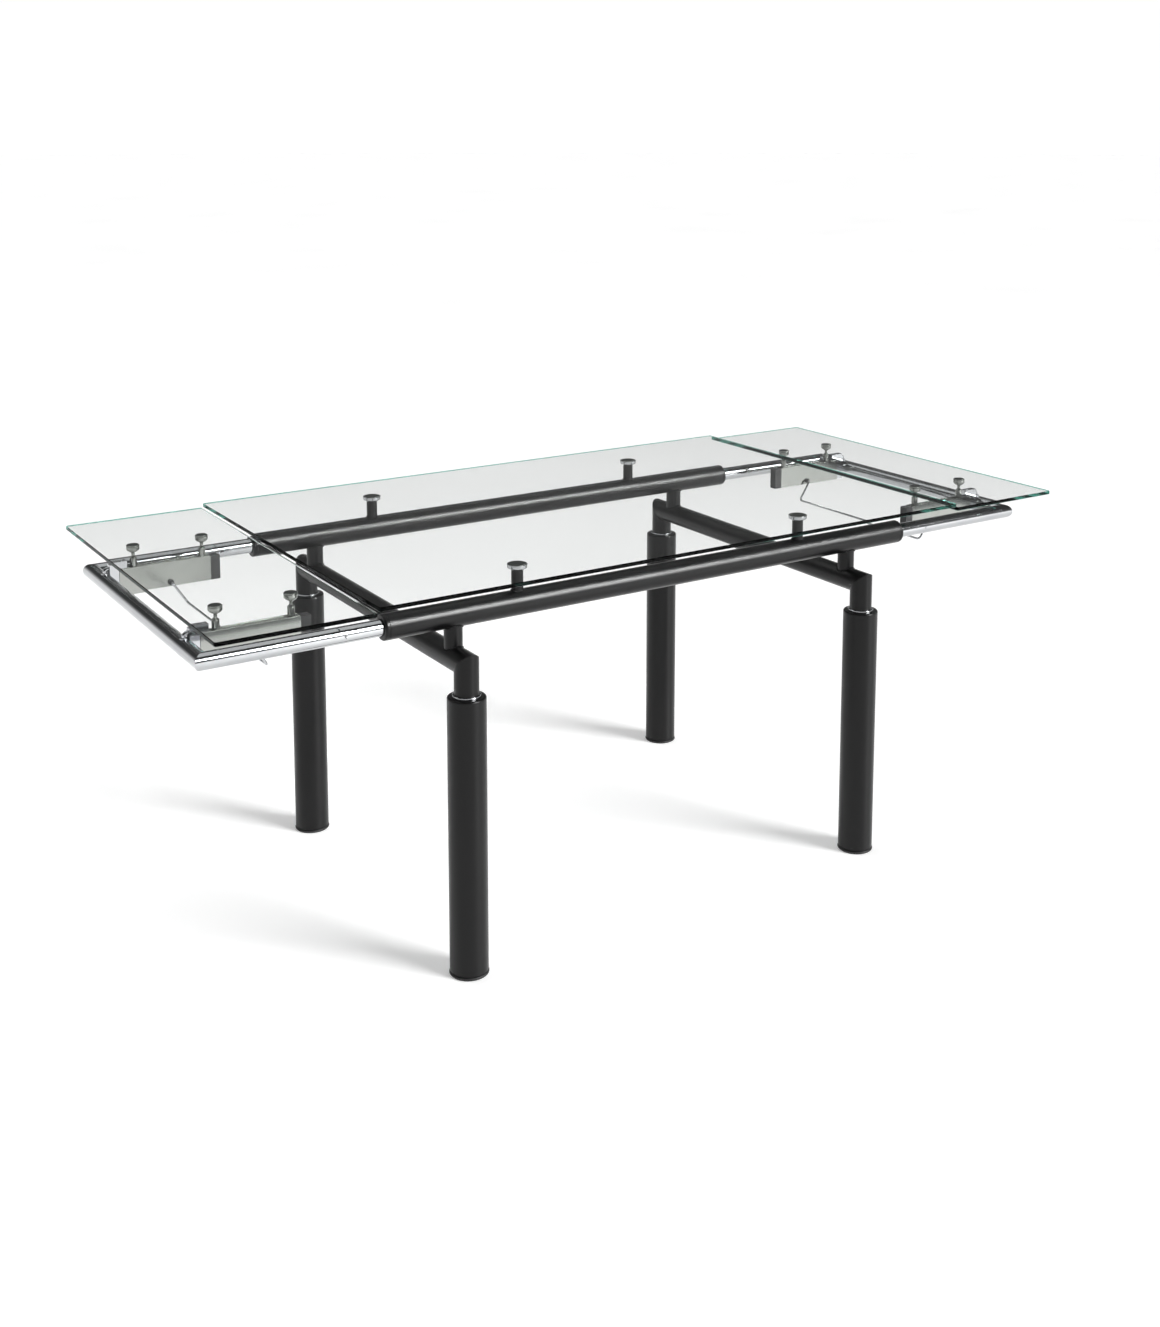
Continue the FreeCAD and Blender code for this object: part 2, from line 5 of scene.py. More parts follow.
import json
import logging
import math
from dataclasses import dataclass, field
from enum import Enum
from typing import Any, Iterable, Sequence

import bmesh
import bpy
from mathutils import Matrix, Vector

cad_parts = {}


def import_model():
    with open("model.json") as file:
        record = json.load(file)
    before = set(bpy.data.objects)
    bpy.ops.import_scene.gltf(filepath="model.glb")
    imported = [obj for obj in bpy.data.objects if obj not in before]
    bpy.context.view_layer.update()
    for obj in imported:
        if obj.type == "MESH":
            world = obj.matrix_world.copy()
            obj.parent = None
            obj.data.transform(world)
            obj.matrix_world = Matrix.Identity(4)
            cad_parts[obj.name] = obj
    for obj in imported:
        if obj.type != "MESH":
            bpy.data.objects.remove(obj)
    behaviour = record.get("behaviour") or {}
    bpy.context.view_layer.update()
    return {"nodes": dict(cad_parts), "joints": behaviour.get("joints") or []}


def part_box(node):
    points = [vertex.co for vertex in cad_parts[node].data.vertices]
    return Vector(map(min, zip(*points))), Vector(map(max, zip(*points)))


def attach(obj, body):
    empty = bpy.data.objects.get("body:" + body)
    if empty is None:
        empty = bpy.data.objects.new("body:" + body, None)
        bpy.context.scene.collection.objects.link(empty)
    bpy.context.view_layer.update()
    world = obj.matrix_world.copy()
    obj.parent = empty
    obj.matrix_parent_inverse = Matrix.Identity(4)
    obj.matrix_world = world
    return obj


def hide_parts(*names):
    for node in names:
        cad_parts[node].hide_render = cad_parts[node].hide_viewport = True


LOG = logging.getLogger("table")
SIDES = {"left": -1, "right": 1}
ROWS = {"near": -1, "far": 1}
FRAME_BODY = "frame"
TINY = 1e-7
SMOOTH_UNDER = math.radians(32)
BEVEL_OVER = math.radians(40)


class Axis(Enum):
    """Directions a turned piece can be set along, as a rotation from +Z."""

    UP = Matrix.Identity(4)
    OUT_RIGHT = Matrix.Rotation(math.radians(90), 4, "Y")
    OUT_LEFT = Matrix.Rotation(math.radians(-90), 4, "Y")
    NEAR = Matrix.Rotation(math.radians(90), 4, "X")
    FAR = Matrix.Rotation(math.radians(-90), 4, "X")


OUTWARD = {"left": Axis.OUT_LEFT, "right": Axis.OUT_RIGHT}


# ------------------------------------------------------------------------------ node trees
class NodeTree:
    """A node tree under construction: a material, a mesh recipe or the surround."""

    def __init__(self, tree: bpy.types.NodeTree) -> None:
        """Start an empty tree."""
        self.tree = tree
        self.tree.nodes.clear()

    def node(self, kind: str, settings: dict[str, Any] | None = None,
             sockets: dict[Any, Any] | None = None) -> Any:
        """Add a node, its settings first and then its sockets' values or links.

        Args:
            kind: The node's type name.
            settings: Properties of the node, such as a Math node's operation.
            sockets: Values, Terms or sockets by input name or number.

        Returns:
            The new node.
        """
        made = self.tree.nodes.new(kind)
        for key, value in (settings or {}).items():
            setattr(made, key, value)
        for key, value in (sockets or {}).items():
            value = getattr(value, "socket", value)
            if isinstance(value, bpy.types.NodeSocket):
                self.tree.links.new(value, made.inputs[key])
            else:
                made.inputs[key].default_value = value
        return made


# --------------------------------------------------------------------------- shader maths
class Term:
    """A shader value whose arithmetic adds Math nodes to its graph."""

    def __init__(self, graph: "Graph", socket: Any) -> None:
        """Wrap a socket of a graph."""
        self.graph = graph
        self.socket = socket

    def _math(self, operation: str, *operands: Any) -> "Term":
        """Add one Math node fed by the operands.

        Args:
            operation: The Math node's operation.
            *operands: Numbers, Terms or sockets, in order.

        Returns:
            The node's result.
        """
        values = {i: getattr(v, "socket", v) for i, v in enumerate(operands)}
        made = self.graph.node("ShaderNodeMath", {"operation": operation}, values)
        return Term(self.graph, made.outputs[0])

    def __add__(self, other: Any) -> "Term":
        """Sum."""
        return self._math("ADD", self, other)

    def __sub__(self, other: Any) -> "Term":
        """Difference."""
        return self._math("SUBTRACT", self, other)

    def __rsub__(self, other: Any) -> "Term":
        """Reflected difference, so that 1 - mask works."""
        return self._math("SUBTRACT", other, self)

    def __mul__(self, other: Any) -> "Term":
        """Product."""
        return self._math("MULTIPLY", self, other)

    def __abs__(self) -> "Term":
        """Size without its sign."""
        return self._math("ABSOLUTE", self)

    __radd__ = __add__
    __rmul__ = __mul__

    def ramp(self, low: float, high: float, start: float = 0.0, end: float = 1.0) -> "Term":
        """Map low..high smoothly onto start..end.

        Args:
            low: The value that gives start.
            high: The value that gives end.
            start: The result at and below low.
            end: The result at and above high.

        Returns:
            The mapped value.
        """
        made = self.graph.node("ShaderNodeMapRange", {"interpolation_type": "SMOOTHSTEP"},
                               {0: self.socket, 1: low, 2: high, 3: start, 4: end})
        return Term(self.graph, made.outputs[0])


class Graph(NodeTree):
    """A node material under construction."""

    def __init__(self, name: str) -> None:
        """Start an empty material of that name."""
        self.material = bpy.data.materials.new(name)
        self.material.use_nodes = True
        super().__init__(self.material.node_tree)
        self.output = self.node("ShaderNodeOutputMaterial")
        self.place = self.node("ShaderNodeTexCoord").outputs["Object"]

    def stretched(self, scale: Sequence[float]) -> Any:
        """Object coordinates scaled by a different amount along each axis."""
        return self.node("ShaderNodeMapping", None,
                         {"Vector": self.place, "Scale": tuple(scale)}).outputs[0]

    def noise(self, scale: float, detail: float = 3.0, rough: float = 0.5,
              vector: Any = None) -> Term:
        """Fractal noise.

        Args:
            scale: Features to the metre.
            detail: Number of octaves.
            rough: How strong the finer octaves are.
            vector: Coordinates to read in place of Object coordinates.

        Returns:
            A value from about 0 to 1.
        """
        made = self.node("ShaderNodeTexNoise", None,
                         {"Vector": vector or self.place, "Scale": scale, "Detail": detail,
                          "Roughness": rough})
        return Term(self, made.outputs["Fac"])

    def cells(self, scale: float) -> Term:
        """Distance to the nearest of scattered points, for grain and specks."""
        made = self.node("ShaderNodeTexVoronoi", None, {"Vector": self.place, "Scale": scale})
        return Term(self, made.outputs["Distance"])

    def edge_mask(self, radius: float) -> Term:
        """How near a point is to a sharp edge.

        Args:
            radius: How far from the edge the mask reaches, in metres.

        Returns:
            0 on a flat and up to 1 on the edge.
        """
        soft = self.node("ShaderNodeBevel", {"samples": 4}, {"Radius": radius})
        hard = self.node("ShaderNodeNewGeometry")
        dot = self.node("ShaderNodeVectorMath", {"operation": "DOT_PRODUCT"},
                        {0: soft.outputs[0], 1: hard.outputs["Normal"]})
        return (1.0 - Term(self, dot.outputs["Value"])).ramp(0.02, 0.28)

    def blend(self, factor: Any, first: Any, second: Any) -> Any:
        """Mix two colours.

        Args:
            factor: 0 for the first colour, 1 for the second.
            first: The first colour, or its socket.
            second: The second colour, or its socket.

        Returns:
            The mixed colour's socket.
        """
        made = self.node("ShaderNodeMix", {"data_type": "RGBA"},
                         {0: factor, 6: first, 7: second})
        return made.outputs[2]

    def bump(self, height: Term, strength: float, distance: float) -> Any:
        """A normal from a height.

        Args:
            height: The height field.
            strength: Share of the effect used.
            distance: Height in metres of a step from 0 to 1.

        Returns:
            The normal's socket.
        """
        made = self.node("ShaderNodeBump", None,
                         {"Strength": strength, "Distance": distance, "Height": height})
        return made.outputs[0]

    def principled(self, **sockets: Any) -> Any:
        """Add the surface shader and join it to the output.

        Args:
            **sockets: Socket values by name, with _ for a space.

        Returns:
            The finished material.
        """
        named = {key.replace("_", " "): value for key, value in sockets.items()}
        shader = self.node("ShaderNodeBsdfPrincipled", None, named)
        self.tree.links.new(shader.outputs[0], self.output.inputs["Surface"])
        return self.material


def grey(value: float) -> tuple[float, float, float, float]:
    """A neutral colour."""
    return (value, value, value, 1.0)


def linked(name: str, data: Any) -> bpy.types.Object:
    """Put a mesh, light or camera into the scene as an object.

    Args:
        name: The object's name.
        data: The mesh, light or camera.

    Returns:
        The object, at the origin.
    """
    made = bpy.data.objects.new(name, data)
    bpy.context.scene.collection.objects.link(made)
    return made


# ------------------------------------------------------------------------------- finishes
@dataclass(frozen=True)
class PowderCoat:
    """Satin black powder coat with a faint orange peel, rubbed a little on its edges."""

    name: str = "satin_black_coat"
    slot: str = "black_paint"
    colour: tuple[float, float, float, float] = (0.0026, 0.0026, 0.0028, 1.0)
    rubbed: tuple[float, float, float, float] = (0.02, 0.0195, 0.019, 1.0)
    roughness: float = 0.305
    peel: float = 420.0

    def make(self) -> bpy.types.Material:
        """Build the material.

        Returns:
            The material.
        """
        g = Graph(self.name)
        cloud = g.noise(6.0, 4.0, 0.55)
        grain = g.noise(self.peel, 2.0, 0.6)
        fine = g.noise(self.peel * 3.5, 1.0)
        wear = g.edge_mask(0.0016) * g.noise(90.0, 4.0, 0.7).ramp(0.42, 0.66)
        colour = g.blend(wear * 0.6, self.colour, self.rubbed)
        dust = g.blend(cloud.ramp(0.45, 0.8, 0.0, 0.25), colour, grey(0.006))
        rough = cloud.ramp(0.3, 0.7, self.roughness - 0.025, self.roughness + 0.03)
        normal = g.bump(grain * 0.75 + fine * 0.25, 0.16, 0.0002)
        return g.principled(Base_Color=dust, Roughness=rough - wear * 0.08,
                            Specular_IOR_Level=0.27, Normal=normal)


@dataclass(frozen=True)
class ChromePlate:
    """Bright chrome plate with faint polishing haze and handling marks."""

    name: str = "bright_chrome"
    slot: str = "chrome"
    colour: tuple[float, float, float, float] = (0.5, 0.51, 0.52, 1.0)
    roughness: float = 0.055

    def make(self) -> bpy.types.Material:
        """Build the material.

        Returns:
            The material.
        """
        g = Graph(self.name)
        haze = g.noise(14.0, 4.0, 0.6)
        smear = g.noise(60.0, 5.0, 0.65).ramp(0.52, 0.78)
        tint = g.blend(haze.ramp(0.35, 0.75), self.colour, (0.46, 0.47, 0.49, 1.0))
        rough = haze.ramp(0.3, 0.8, self.roughness, self.roughness + 0.03) + smear * 0.05
        normal = g.bump(g.noise(240.0, 2.0), 0.06, 0.0001)
        return g.principled(Base_Color=tint, Metallic=1.0, Roughness=rough, Normal=normal)


@dataclass(frozen=True)
class BrushedSteel:
    """Steel with fine lines along the table's length."""

    name: str
    slot: str
    colour: tuple[float, float, float, float]
    roughness: float
    line_strength: float = 0.16

    def make(self) -> bpy.types.Material:
        """Build the material.

        Returns:
            The material.
        """
        g = Graph(self.name)
        lines = g.noise(1.0, 3.0, 0.6, g.stretched((18.0, 2600.0, 2600.0)))
        broad = g.noise(22.0, 4.0, 0.6)
        dark = tuple(0.72 * c for c in self.colour[:3]) + (1.0,)
        tint = g.blend(lines.ramp(0.3, 0.75) * 0.4 + broad.ramp(0.4, 0.8) * 0.3,
                       self.colour, dark)
        scuffs = g.edge_mask(0.0012) * g.noise(150.0, 3.0).ramp(0.45, 0.7)
        rough = lines.ramp(0.25, 0.8, self.roughness, self.roughness + 0.1) + scuffs * 0.12
        normal = g.bump(lines, self.line_strength, 0.00006)
        return g.principled(Base_Color=tint, Metallic=1.0, Roughness=rough, Normal=normal)


@dataclass(frozen=True)
class MouldedNylon:
    """Black moulded plastic with a spark-eroded grain and greyed edges."""

    name: str = "moulded_black_nylon"
    slot: str = "black_plastic"
    colour: tuple[float, float, float, float] = (0.014, 0.014, 0.0145, 1.0)
    roughness: float = 0.47

    def make(self) -> bpy.types.Material:
        """Build the material.

        Returns:
            The material.
        """
        g = Graph(self.name)
        grain = g.cells(1500.0).ramp(0.1, 0.6)
        cloud = g.noise(35.0, 3.0)
        wear = g.edge_mask(0.0012) * g.noise(120.0, 3.0, 0.6).ramp(0.4, 0.62)
        colour = g.blend(wear * 0.7, self.colour, grey(0.07))
        rough = cloud.ramp(0.3, 0.7, self.roughness - 0.05, self.roughness + 0.08)
        return g.principled(Base_Color=colour, Roughness=rough,
                            Normal=g.bump(grain, 0.22, 0.00012))


@dataclass(frozen=True)
class FloatGlass:
    """Clear float glass: pale green through its faces and dark green in its edges."""

    name: str = "clear_float_glass"
    slot: str = "glass"
    face: tuple[float, float, float, float] = (0.981, 0.997, 0.989, 1.0)
    edge: tuple[float, float, float, float] = (0.035, 0.2, 0.15, 1.0)

    def make(self) -> bpy.types.Material:
        """Build the material.

        Returns:
            The material.
        """
        g = Graph(self.name)
        normal = g.node("ShaderNodeNewGeometry").outputs["Normal"]
        level = g.node("ShaderNodeSeparateXYZ", None, {0: normal}).outputs[2]
        flat = abs(Term(g, level)).ramp(0.55, 0.95)
        streak = g.noise(1.0, 4.0, 0.6, g.stretched((3.0, 3.0, 900.0)))
        edge = g.blend(streak.ramp(0.35, 0.7), self.edge, (0.06, 0.28, 0.215, 1.0))
        colour = g.blend(flat, edge, self.face)
        wiped = g.noise(9.0, 5.0, 0.7).ramp(0.5, 0.85, 0.0, 0.02)
        rough = wiped + (1.0 - flat) * 0.09
        return g.principled(Base_Color=colour, Roughness=rough, Transmission_Weight=1.0,
                            IOR=1.15, Normal=g.bump(g.noise(3.0, 1.0), 0.02, 0.0004))


@dataclass(frozen=True)
class ClearPad:
    """Soft clear silicone between a pad and the glass."""

    name: str = "clear_silicone"
    slot: str = "black_plastic"

    def make(self) -> bpy.types.Material:
        """Build the material.

        Returns:
            The material.
        """
        g = Graph(self.name)
        cloud = g.noise(300.0, 3.0)
        tint = g.blend(cloud, grey(0.045), (0.07, 0.078, 0.072, 1.0))
        return g.principled(Base_Color=tint, Roughness=cloud.ramp(0.2, 0.8, 0.25, 0.4))


@dataclass(frozen=True)
class PaleFloor:
    """Matt pale studio floor with the faintest mottling."""

    name: str = "pale_floor"

    def make(self) -> bpy.types.Material:
        """Build the material.

        Returns:
            The material.
        """
        g = Graph(self.name)
        cloud = g.noise(0.9, 4.0, 0.5)
        tint = g.blend(cloud, grey(0.86), grey(0.89))
        glow = g.blend(cloud, grey(0.98), grey(1.0))
        return g.principled(Base_Color=tint, Roughness=cloud.ramp(0.2, 0.8, 0.42, 0.55),
                            Specular_IOR_Level=0.35, Emission_Color=glow,
                            Emission_Strength=0.26,
                            Normal=g.bump(g.noise(400.0, 2.0), 0.02, 0.0003))


class Finish(Enum):
    """Every finish on the table."""

    BLACK = PowderCoat()
    CHROME = ChromePlate()
    POLISHED = BrushedSteel("mirror_polished_steel", "polished_steel",
                            (0.34, 0.352, 0.332, 1.0), 0.11)
    DRAWN = BrushedSteel("drawn_steel", "plain_steel", (0.2, 0.2, 0.195, 1.0), 0.3)
    NYLON = MouldedNylon()
    GLASS = FloatGlass()
    PAD = ClearPad()

    @property
    def material(self) -> bpy.types.Material:
        """The finish's material, made the first time it is asked for."""
        found = bpy.data.materials.get(self.value.name)
        return found or self.value.make()


# -------------------------------------------------------------------------- mesh building
def round_corners(profile: Sequence[tuple[float, float, float]], steps: int = 5
                  ) -> list[tuple[float, float]]:
    """Replace a profile's corners with arcs.

    Args:
        profile: Corners as (radius, height, corner radius).
        steps: Segments in each arc.

    Returns:
        The smoothed profile as (radius, height) points.
    """
    points: list[tuple[float, float]] = []
    for i, (r, z, bend) in enumerate(profile):
        if bend <= 0 or i in (0, len(profile) - 1):
            points.append((r, z))
            continue
        here = Vector((r, z))
        before = (Vector(profile[i - 1][:2]) - here)
        after = (Vector(profile[i + 1][:2]) - here)
        reach = min(bend, before.length * 0.49, after.length * 0.49)
        start, end = here + before.normalized() * reach, here + after.normalized() * reach
        for k in range(steps + 1):
            t = k / steps
            spot = start * (1 - t) ** 2 + here * 2 * t * (1 - t) + end * t ** 2
            points.append((spot.x, spot.y))
    return points


@dataclass
class Maker:
    """Collects loops and faces into one mesh piece that rides on a body."""

    name: str
    finish: Finish
    body: str
    work: bmesh.types.BMesh = field(default_factory=bmesh.new)

    def turn(self, profile: Sequence[tuple[float, float, float]], place: Vector,
             axis: Axis = Axis.UP, sides: int = 64) -> "Maker":
        """Add a solid turned from a profile about an axis.

        Args:
            profile: Corners (radius, height, corner radius), closed if they return.
            place: Where the profile's zero height is.
            axis: The direction heights are measured along.
            sides: Faces round the piece.

        Returns:
            This maker.
        """
        points = round_corners(profile)
        move = Matrix.Translation(place) @ axis.value
        rings = []
        for r, z in points:
            if r < TINY:
                rings.append([self.work.verts.new(move @ Vector((0, 0, z)))])
                continue
            spokes = [2 * math.pi * i / sides for i in range(sides)]
            rings.append([self.work.verts.new(move @ Vector((r * math.cos(a), r * math.sin(a), z)))
                          for a in spokes])
        closed = len(rings[0]) > 1 and (Vector(points[0]) - Vector(points[-1])).length > TINY
        self._join(rings, sides, closed)
        return self

    def _join(self, rings: Sequence[list[Any]], sides: int, closed: bool) -> None:
        """Join each ring to the next.

        Args:
            rings: The rings in order, each a list of vertices.
            sides: Faces between two rings.
            closed: Whether the last ring joins the first.
        """
        pairs = list(zip(rings, rings[1:])) + ([(rings[-1], rings[0])] if closed else [])
        for low, high in pairs:
            self._skin(low, high, sides)

    def _skin(self, low: list[Any], high: list[Any], sides: int) -> None:
        """Join two rings.

        Args:
            low: The first ring's vertices, or its single point.
            high: The second ring's vertices, or its single point.
            sides: Faces between them.
        """
        if len(low) == 1 and len(high) == 1:
            return
        for i in range(sides):
            j = (i + 1) % sides
            if len(low) == 1:
                self.work.faces.new((low[0], high[j], high[i]))
            elif len(high) == 1:
                self.work.faces.new((low[i], low[j], high[0]))
            else:
                self.work.faces.new((low[i], low[j], high[j], high[i]))

    def prism(self, outline: Sequence[tuple[float, float]], start: float, end: float) -> "Maker":
        """Add a solid with an outline in Y and Z, drawn out along X.

        Args:
            outline: Corners (y, z) in order.
            start: The lower X.
            end: The upper X.

        Returns:
            This maker.
        """
        ends = [[self.work.verts.new((x, y, z)) for y, z in outline] for x in (start, end)]
        count = len(outline)
        self.work.faces.new(ends[0])
        self.work.faces.new(reversed(ends[1]))
        for i in range(count):
            j = (i + 1) % count
            self.work.faces.new((ends[0][i], ends[1][i], ends[1][j], ends[0][j]))
        return self

    def sweep(self, path: Sequence[Vector], radius: float, sides: int = 20,
              closed: bool = False) -> "Maker":
        """Add a round bar that follows a path.

        Args:
            path: Points along the bar's middle.
            radius: The bar's radius.
            sides: Faces round the bar.
            closed: Whether the last point joins the first.

        Returns:
            This maker.
        """
        count = len(path)
        rings: list[list[Any]] = []
        side: Vector | None = None
        for i, spot in enumerate(path):
            before = path[i - 1] if i or closed else spot
            after = path[(i + 1) % count] if i < count - 1 or closed else spot
            ahead = (after - before).normalized()
            side = (side or ahead.orthogonal()) - ahead * ahead.dot(side or ahead.orthogonal())
            side.normalize()
            other = ahead.cross(side)
            ring = [spot + (side * math.cos(a) + other * math.sin(a)) * radius
                    for a in (2 * math.pi * k / sides for k in range(sides))]
            rings.append([self.work.verts.new(v) for v in ring])
        self._join(rings, sides, closed)
        if not closed:
            self.work.faces.new(reversed(rings[0]))
            self.work.faces.new(rings[-1])
        return self

    def finished(self, *stands_for: str, bevel: float = 0.0) -> bpy.types.Object:
        """Close the mesh, dress it and set it riding.

        Args:
            *stands_for: CAD nodes the piece replaces.
            bevel: Width of an edge bevel in metres, or 0 for none.

        Returns:
            The piece.
        """
        bmesh.ops.remove_doubles(self.work, verts=self.work.verts, dist=TINY)
        bmesh.ops.recalc_face_normals(self.work, faces=self.work.faces)
        for edge in self.work.edges:
            sharp = len(edge.link_faces) == 2 and edge.calc_face_angle(0) > SMOOTH_UNDER
            edge.smooth = not sharp
        for face in self.work.faces:
            face.smooth = True
        mesh = bpy.data.meshes.new(self.name)
        self.work.to_mesh(mesh)
        self.work.free()
        piece = linked(self.name, mesh)
        if bevel:
            rounding = piece.modifiers.new("rounding", "BEVEL")
            rounding.width = bevel
            rounding.segments = 3
            rounding.limit_method = "ANGLE"
            rounding.angle_limit = BEVEL_OVER
            rounding.harden_normals = True
        return dress(piece, self.finish, self.body, *stands_for)


def dress(piece: bpy.types.Object, finish: Finish, body: str, *stands_for: str
          ) -> bpy.types.Object:
    """Give a piece its finish and set it riding.

    Args:
        piece: The piece.
        finish: Its finish.
        body: The body it rides on.
        *stands_for: CAD nodes it replaces.

    Returns:
        The piece.
    """
    piece.data.materials.clear()
    piece.data.materials.append(finish.material)
    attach(piece, body)
    if stands_for:
        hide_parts(*stands_for)
    LOG.info("%s: %d faces, rides on %s", piece.name, len(piece.data.polygons), body)
    return piece


def coat(nodes: dict[str, bpy.types.Object], finish: Finish, names: Iterable[str]) -> None:
    """Put a finish on CAD nodes that are shown as they are.

    Args:
        nodes: Every CAD node by name.
        finish: The finish.
        names: The nodes that get it.
    """
    for name in names:
        mesh = nodes[name].data
        mesh.materials.clear()
        mesh.materials.append(finish.material)
        LOG.info("%s: finished in %s", name, finish.value.name)


# ------------------------------------------------------------------------ geometry nodes
class Recipe(NodeTree):
    """A Geometry Nodes tree with named inputs, applied to a seed mesh and made plain."""

    def __init__(self, name: str, inputs: dict[str, tuple[str, Any]]) -> None:
        """Start a tree.

        Args:
            name: The tree's name.
            inputs: Named inputs as (socket type, default value).
        """
        super().__init__(bpy.data.node_groups.new(name, "GeometryNodeTree"))
        face = self.tree.interface
        face.new_socket("Geometry", in_out="OUTPUT", socket_type="NodeSocketGeometry")
        face.new_socket("Geometry", in_out="INPUT", socket_type="NodeSocketGeometry")
        for label, (kind, value) in inputs.items():
            made = face.new_socket(label, in_out="INPUT", socket_type=kind)
            if value is not None:
                made.default_value = value
        self.source = self.node("NodeGroupInput").outputs

    def close(self, geometry: Any) -> None:
        """End the tree in Realize Instances, smooth shading and Set Material."""
        real = self.node("GeometryNodeRealizeInstances", None, {0: geometry})
        smooth = self.node("GeometryNodeSetShadeSmooth", None, {0: real.outputs[0]})
        painted = self.node("GeometryNodeSetMaterial", None,
                            {"Geometry": smooth.outputs[0], "Material": self.source["Material"]})
        self.node("NodeGroupOutput", None, {0: painted.outputs[0]})

    def run(self, name: str, seed: bpy.types.Mesh, finish: Finish, body: str,
            **values: Any) -> bpy.types.Object:
        """Apply the tree to a seed mesh and keep the result as a plain mesh.

        Args:
            name: The new piece's name.
            seed: The mesh the tree reads.
            finish: The piece's finish.
            body: The body it rides on.
            **values: Values for the named inputs, with _ for a space.

        Returns:
            The piece.
        """
        carrier = linked(f"{name}_seed", seed)
        modifier = carrier.modifiers.new("recipe", "NODES")
        modifier.node_group = self.tree
        values["Material"] = finish.material
        for item in self.tree.interface.items_tree:
            key = item.name.replace(" ", "_")
            if item.in_out == "INPUT" and key in values:
                modifier[item.identifier] = values[key]
        graph = bpy.context.evaluated_depsgraph_get()
        graph.update()
        mesh = bpy.data.meshes.new_from_object(carrier.evaluated_get(graph))
        mesh.name = name
        bpy.data.objects.remove(carrier)
        return dress(linked(name, mesh), finish, body)


def path_mesh(name: str, loops: Iterable[Sequence[Vector]]) -> bpy.types.Mesh:
    """A mesh of edges, for a recipe that follows paths.

    Args:
        name: The mesh's name.
        loops: The points of each closed path.

    Returns:
        The mesh.
    """
    spots: list[Vector] = []
    edges: list[tuple[int, int]] = []
    for loop in loops:
        base, count = len(spots), len(loop)
        spots.extend(loop)
        edges.extend((base + i, base + (i + 1) % count) for i in range(count))
    mesh = bpy.data.meshes.new(name)
    mesh.from_pydata(spots, edges, [])
    return mesh


def point_mesh(name: str, spots: Sequence[tuple[Vector, Vector]]) -> bpy.types.Mesh:
    """A mesh of loose points, for a recipe that sets things on them.

    Args:
        name: The mesh's name.
        spots: Each point with the direction it faces.

    Returns:
        The mesh.
    """
    mesh = bpy.data.meshes.new(name)
    mesh.from_pydata([p for p, _ in spots], [], [])
    facing = mesh.attributes.new("facing", "FLOAT_VECTOR", "POINT")
    for i, (_, way) in enumerate(spots):
        facing.data[i].vector = way
    return mesh


def weld_recipe() -> Recipe:
    """A ripple weld: a fillet with overlapping puddles along closed paths.

    Returns:
        The recipe.
    """
    r = Recipe("weld_bead", {"Bead": ("NodeSocketFloat", 0.0018),
                             "Pitch": ("NodeSocketFloat", 0.0022),
                             "Seed": ("NodeSocketInt", 7),
                             "Material": ("NodeSocketMaterial", None)})
    line = r.node("GeometryNodeMeshToCurve", None, {0: r.source["Geometry"]}).outputs[0]
    even = r.node("GeometryNodeResampleCurve", {"mode": "LENGTH"},
                  {"Curve": line, "Length": r.source["Pitch"]})
    tangent = r.node("GeometryNodeInputTangent").outputs[0]
    turn = r.node("FunctionNodeAlignRotationToVector", {"axis": "Z"}, {"Vector": tangent})
    puddle = r.node("GeometryNodeMeshIcoSphere", None,
                    {"Radius": r.source["Bead"], "Subdivisions": 2})
    size = r.node("FunctionNodeRandomValue", {"data_type": "FLOAT_VECTOR"},
                  {0: (0.92, 0.92, 0.45), 1: (1.12, 1.12, 0.62), "Seed": r.source["Seed"]})
    many = r.node("GeometryNodeInstanceOnPoints", None,
                  {"Points": even.outputs[0], "Instance": puddle.outputs[0],
                   "Rotation": turn.outputs[0], "Scale": size.outputs[0]})
    r.close(many.outputs[0])
    return r


def rib_recipe() -> Recipe:
    """Upright ribs round a rim, such as the grip on a levelling foot.

    Returns:
        The recipe.
    """
    r = Recipe("rim_ribs", {"Rim radius": ("NodeSocketFloat", 0.038),
                            "Rib radius": ("NodeSocketFloat", 0.001),
                            "Rib height": ("NodeSocketFloat", 0.003),
                            "Count": ("NodeSocketInt", 60),
                            "Material": ("NodeSocketMaterial", None)})
    ring = r.node("GeometryNodeMeshCircle", None,
                  {"Radius": r.source["Rim radius"], "Vertices": r.source["Count"]})
    rib = r.node("GeometryNodeMeshCylinder", None,
                 {"Vertices": 8, "Radius": r.source["Rib radius"],
                  "Depth": r.source["Rib height"]})
    each = r.node("GeometryNodeInstanceOnPoints", None,
                  {"Points": ring.outputs[0], "Instance": rib.outputs[0]})
    rims = r.node("GeometryNodeInstanceOnPoints", None,
                  {"Points": r.source["Geometry"], "Instance": each.outputs[0]})
    r.close(rims.outputs[0])
    return r


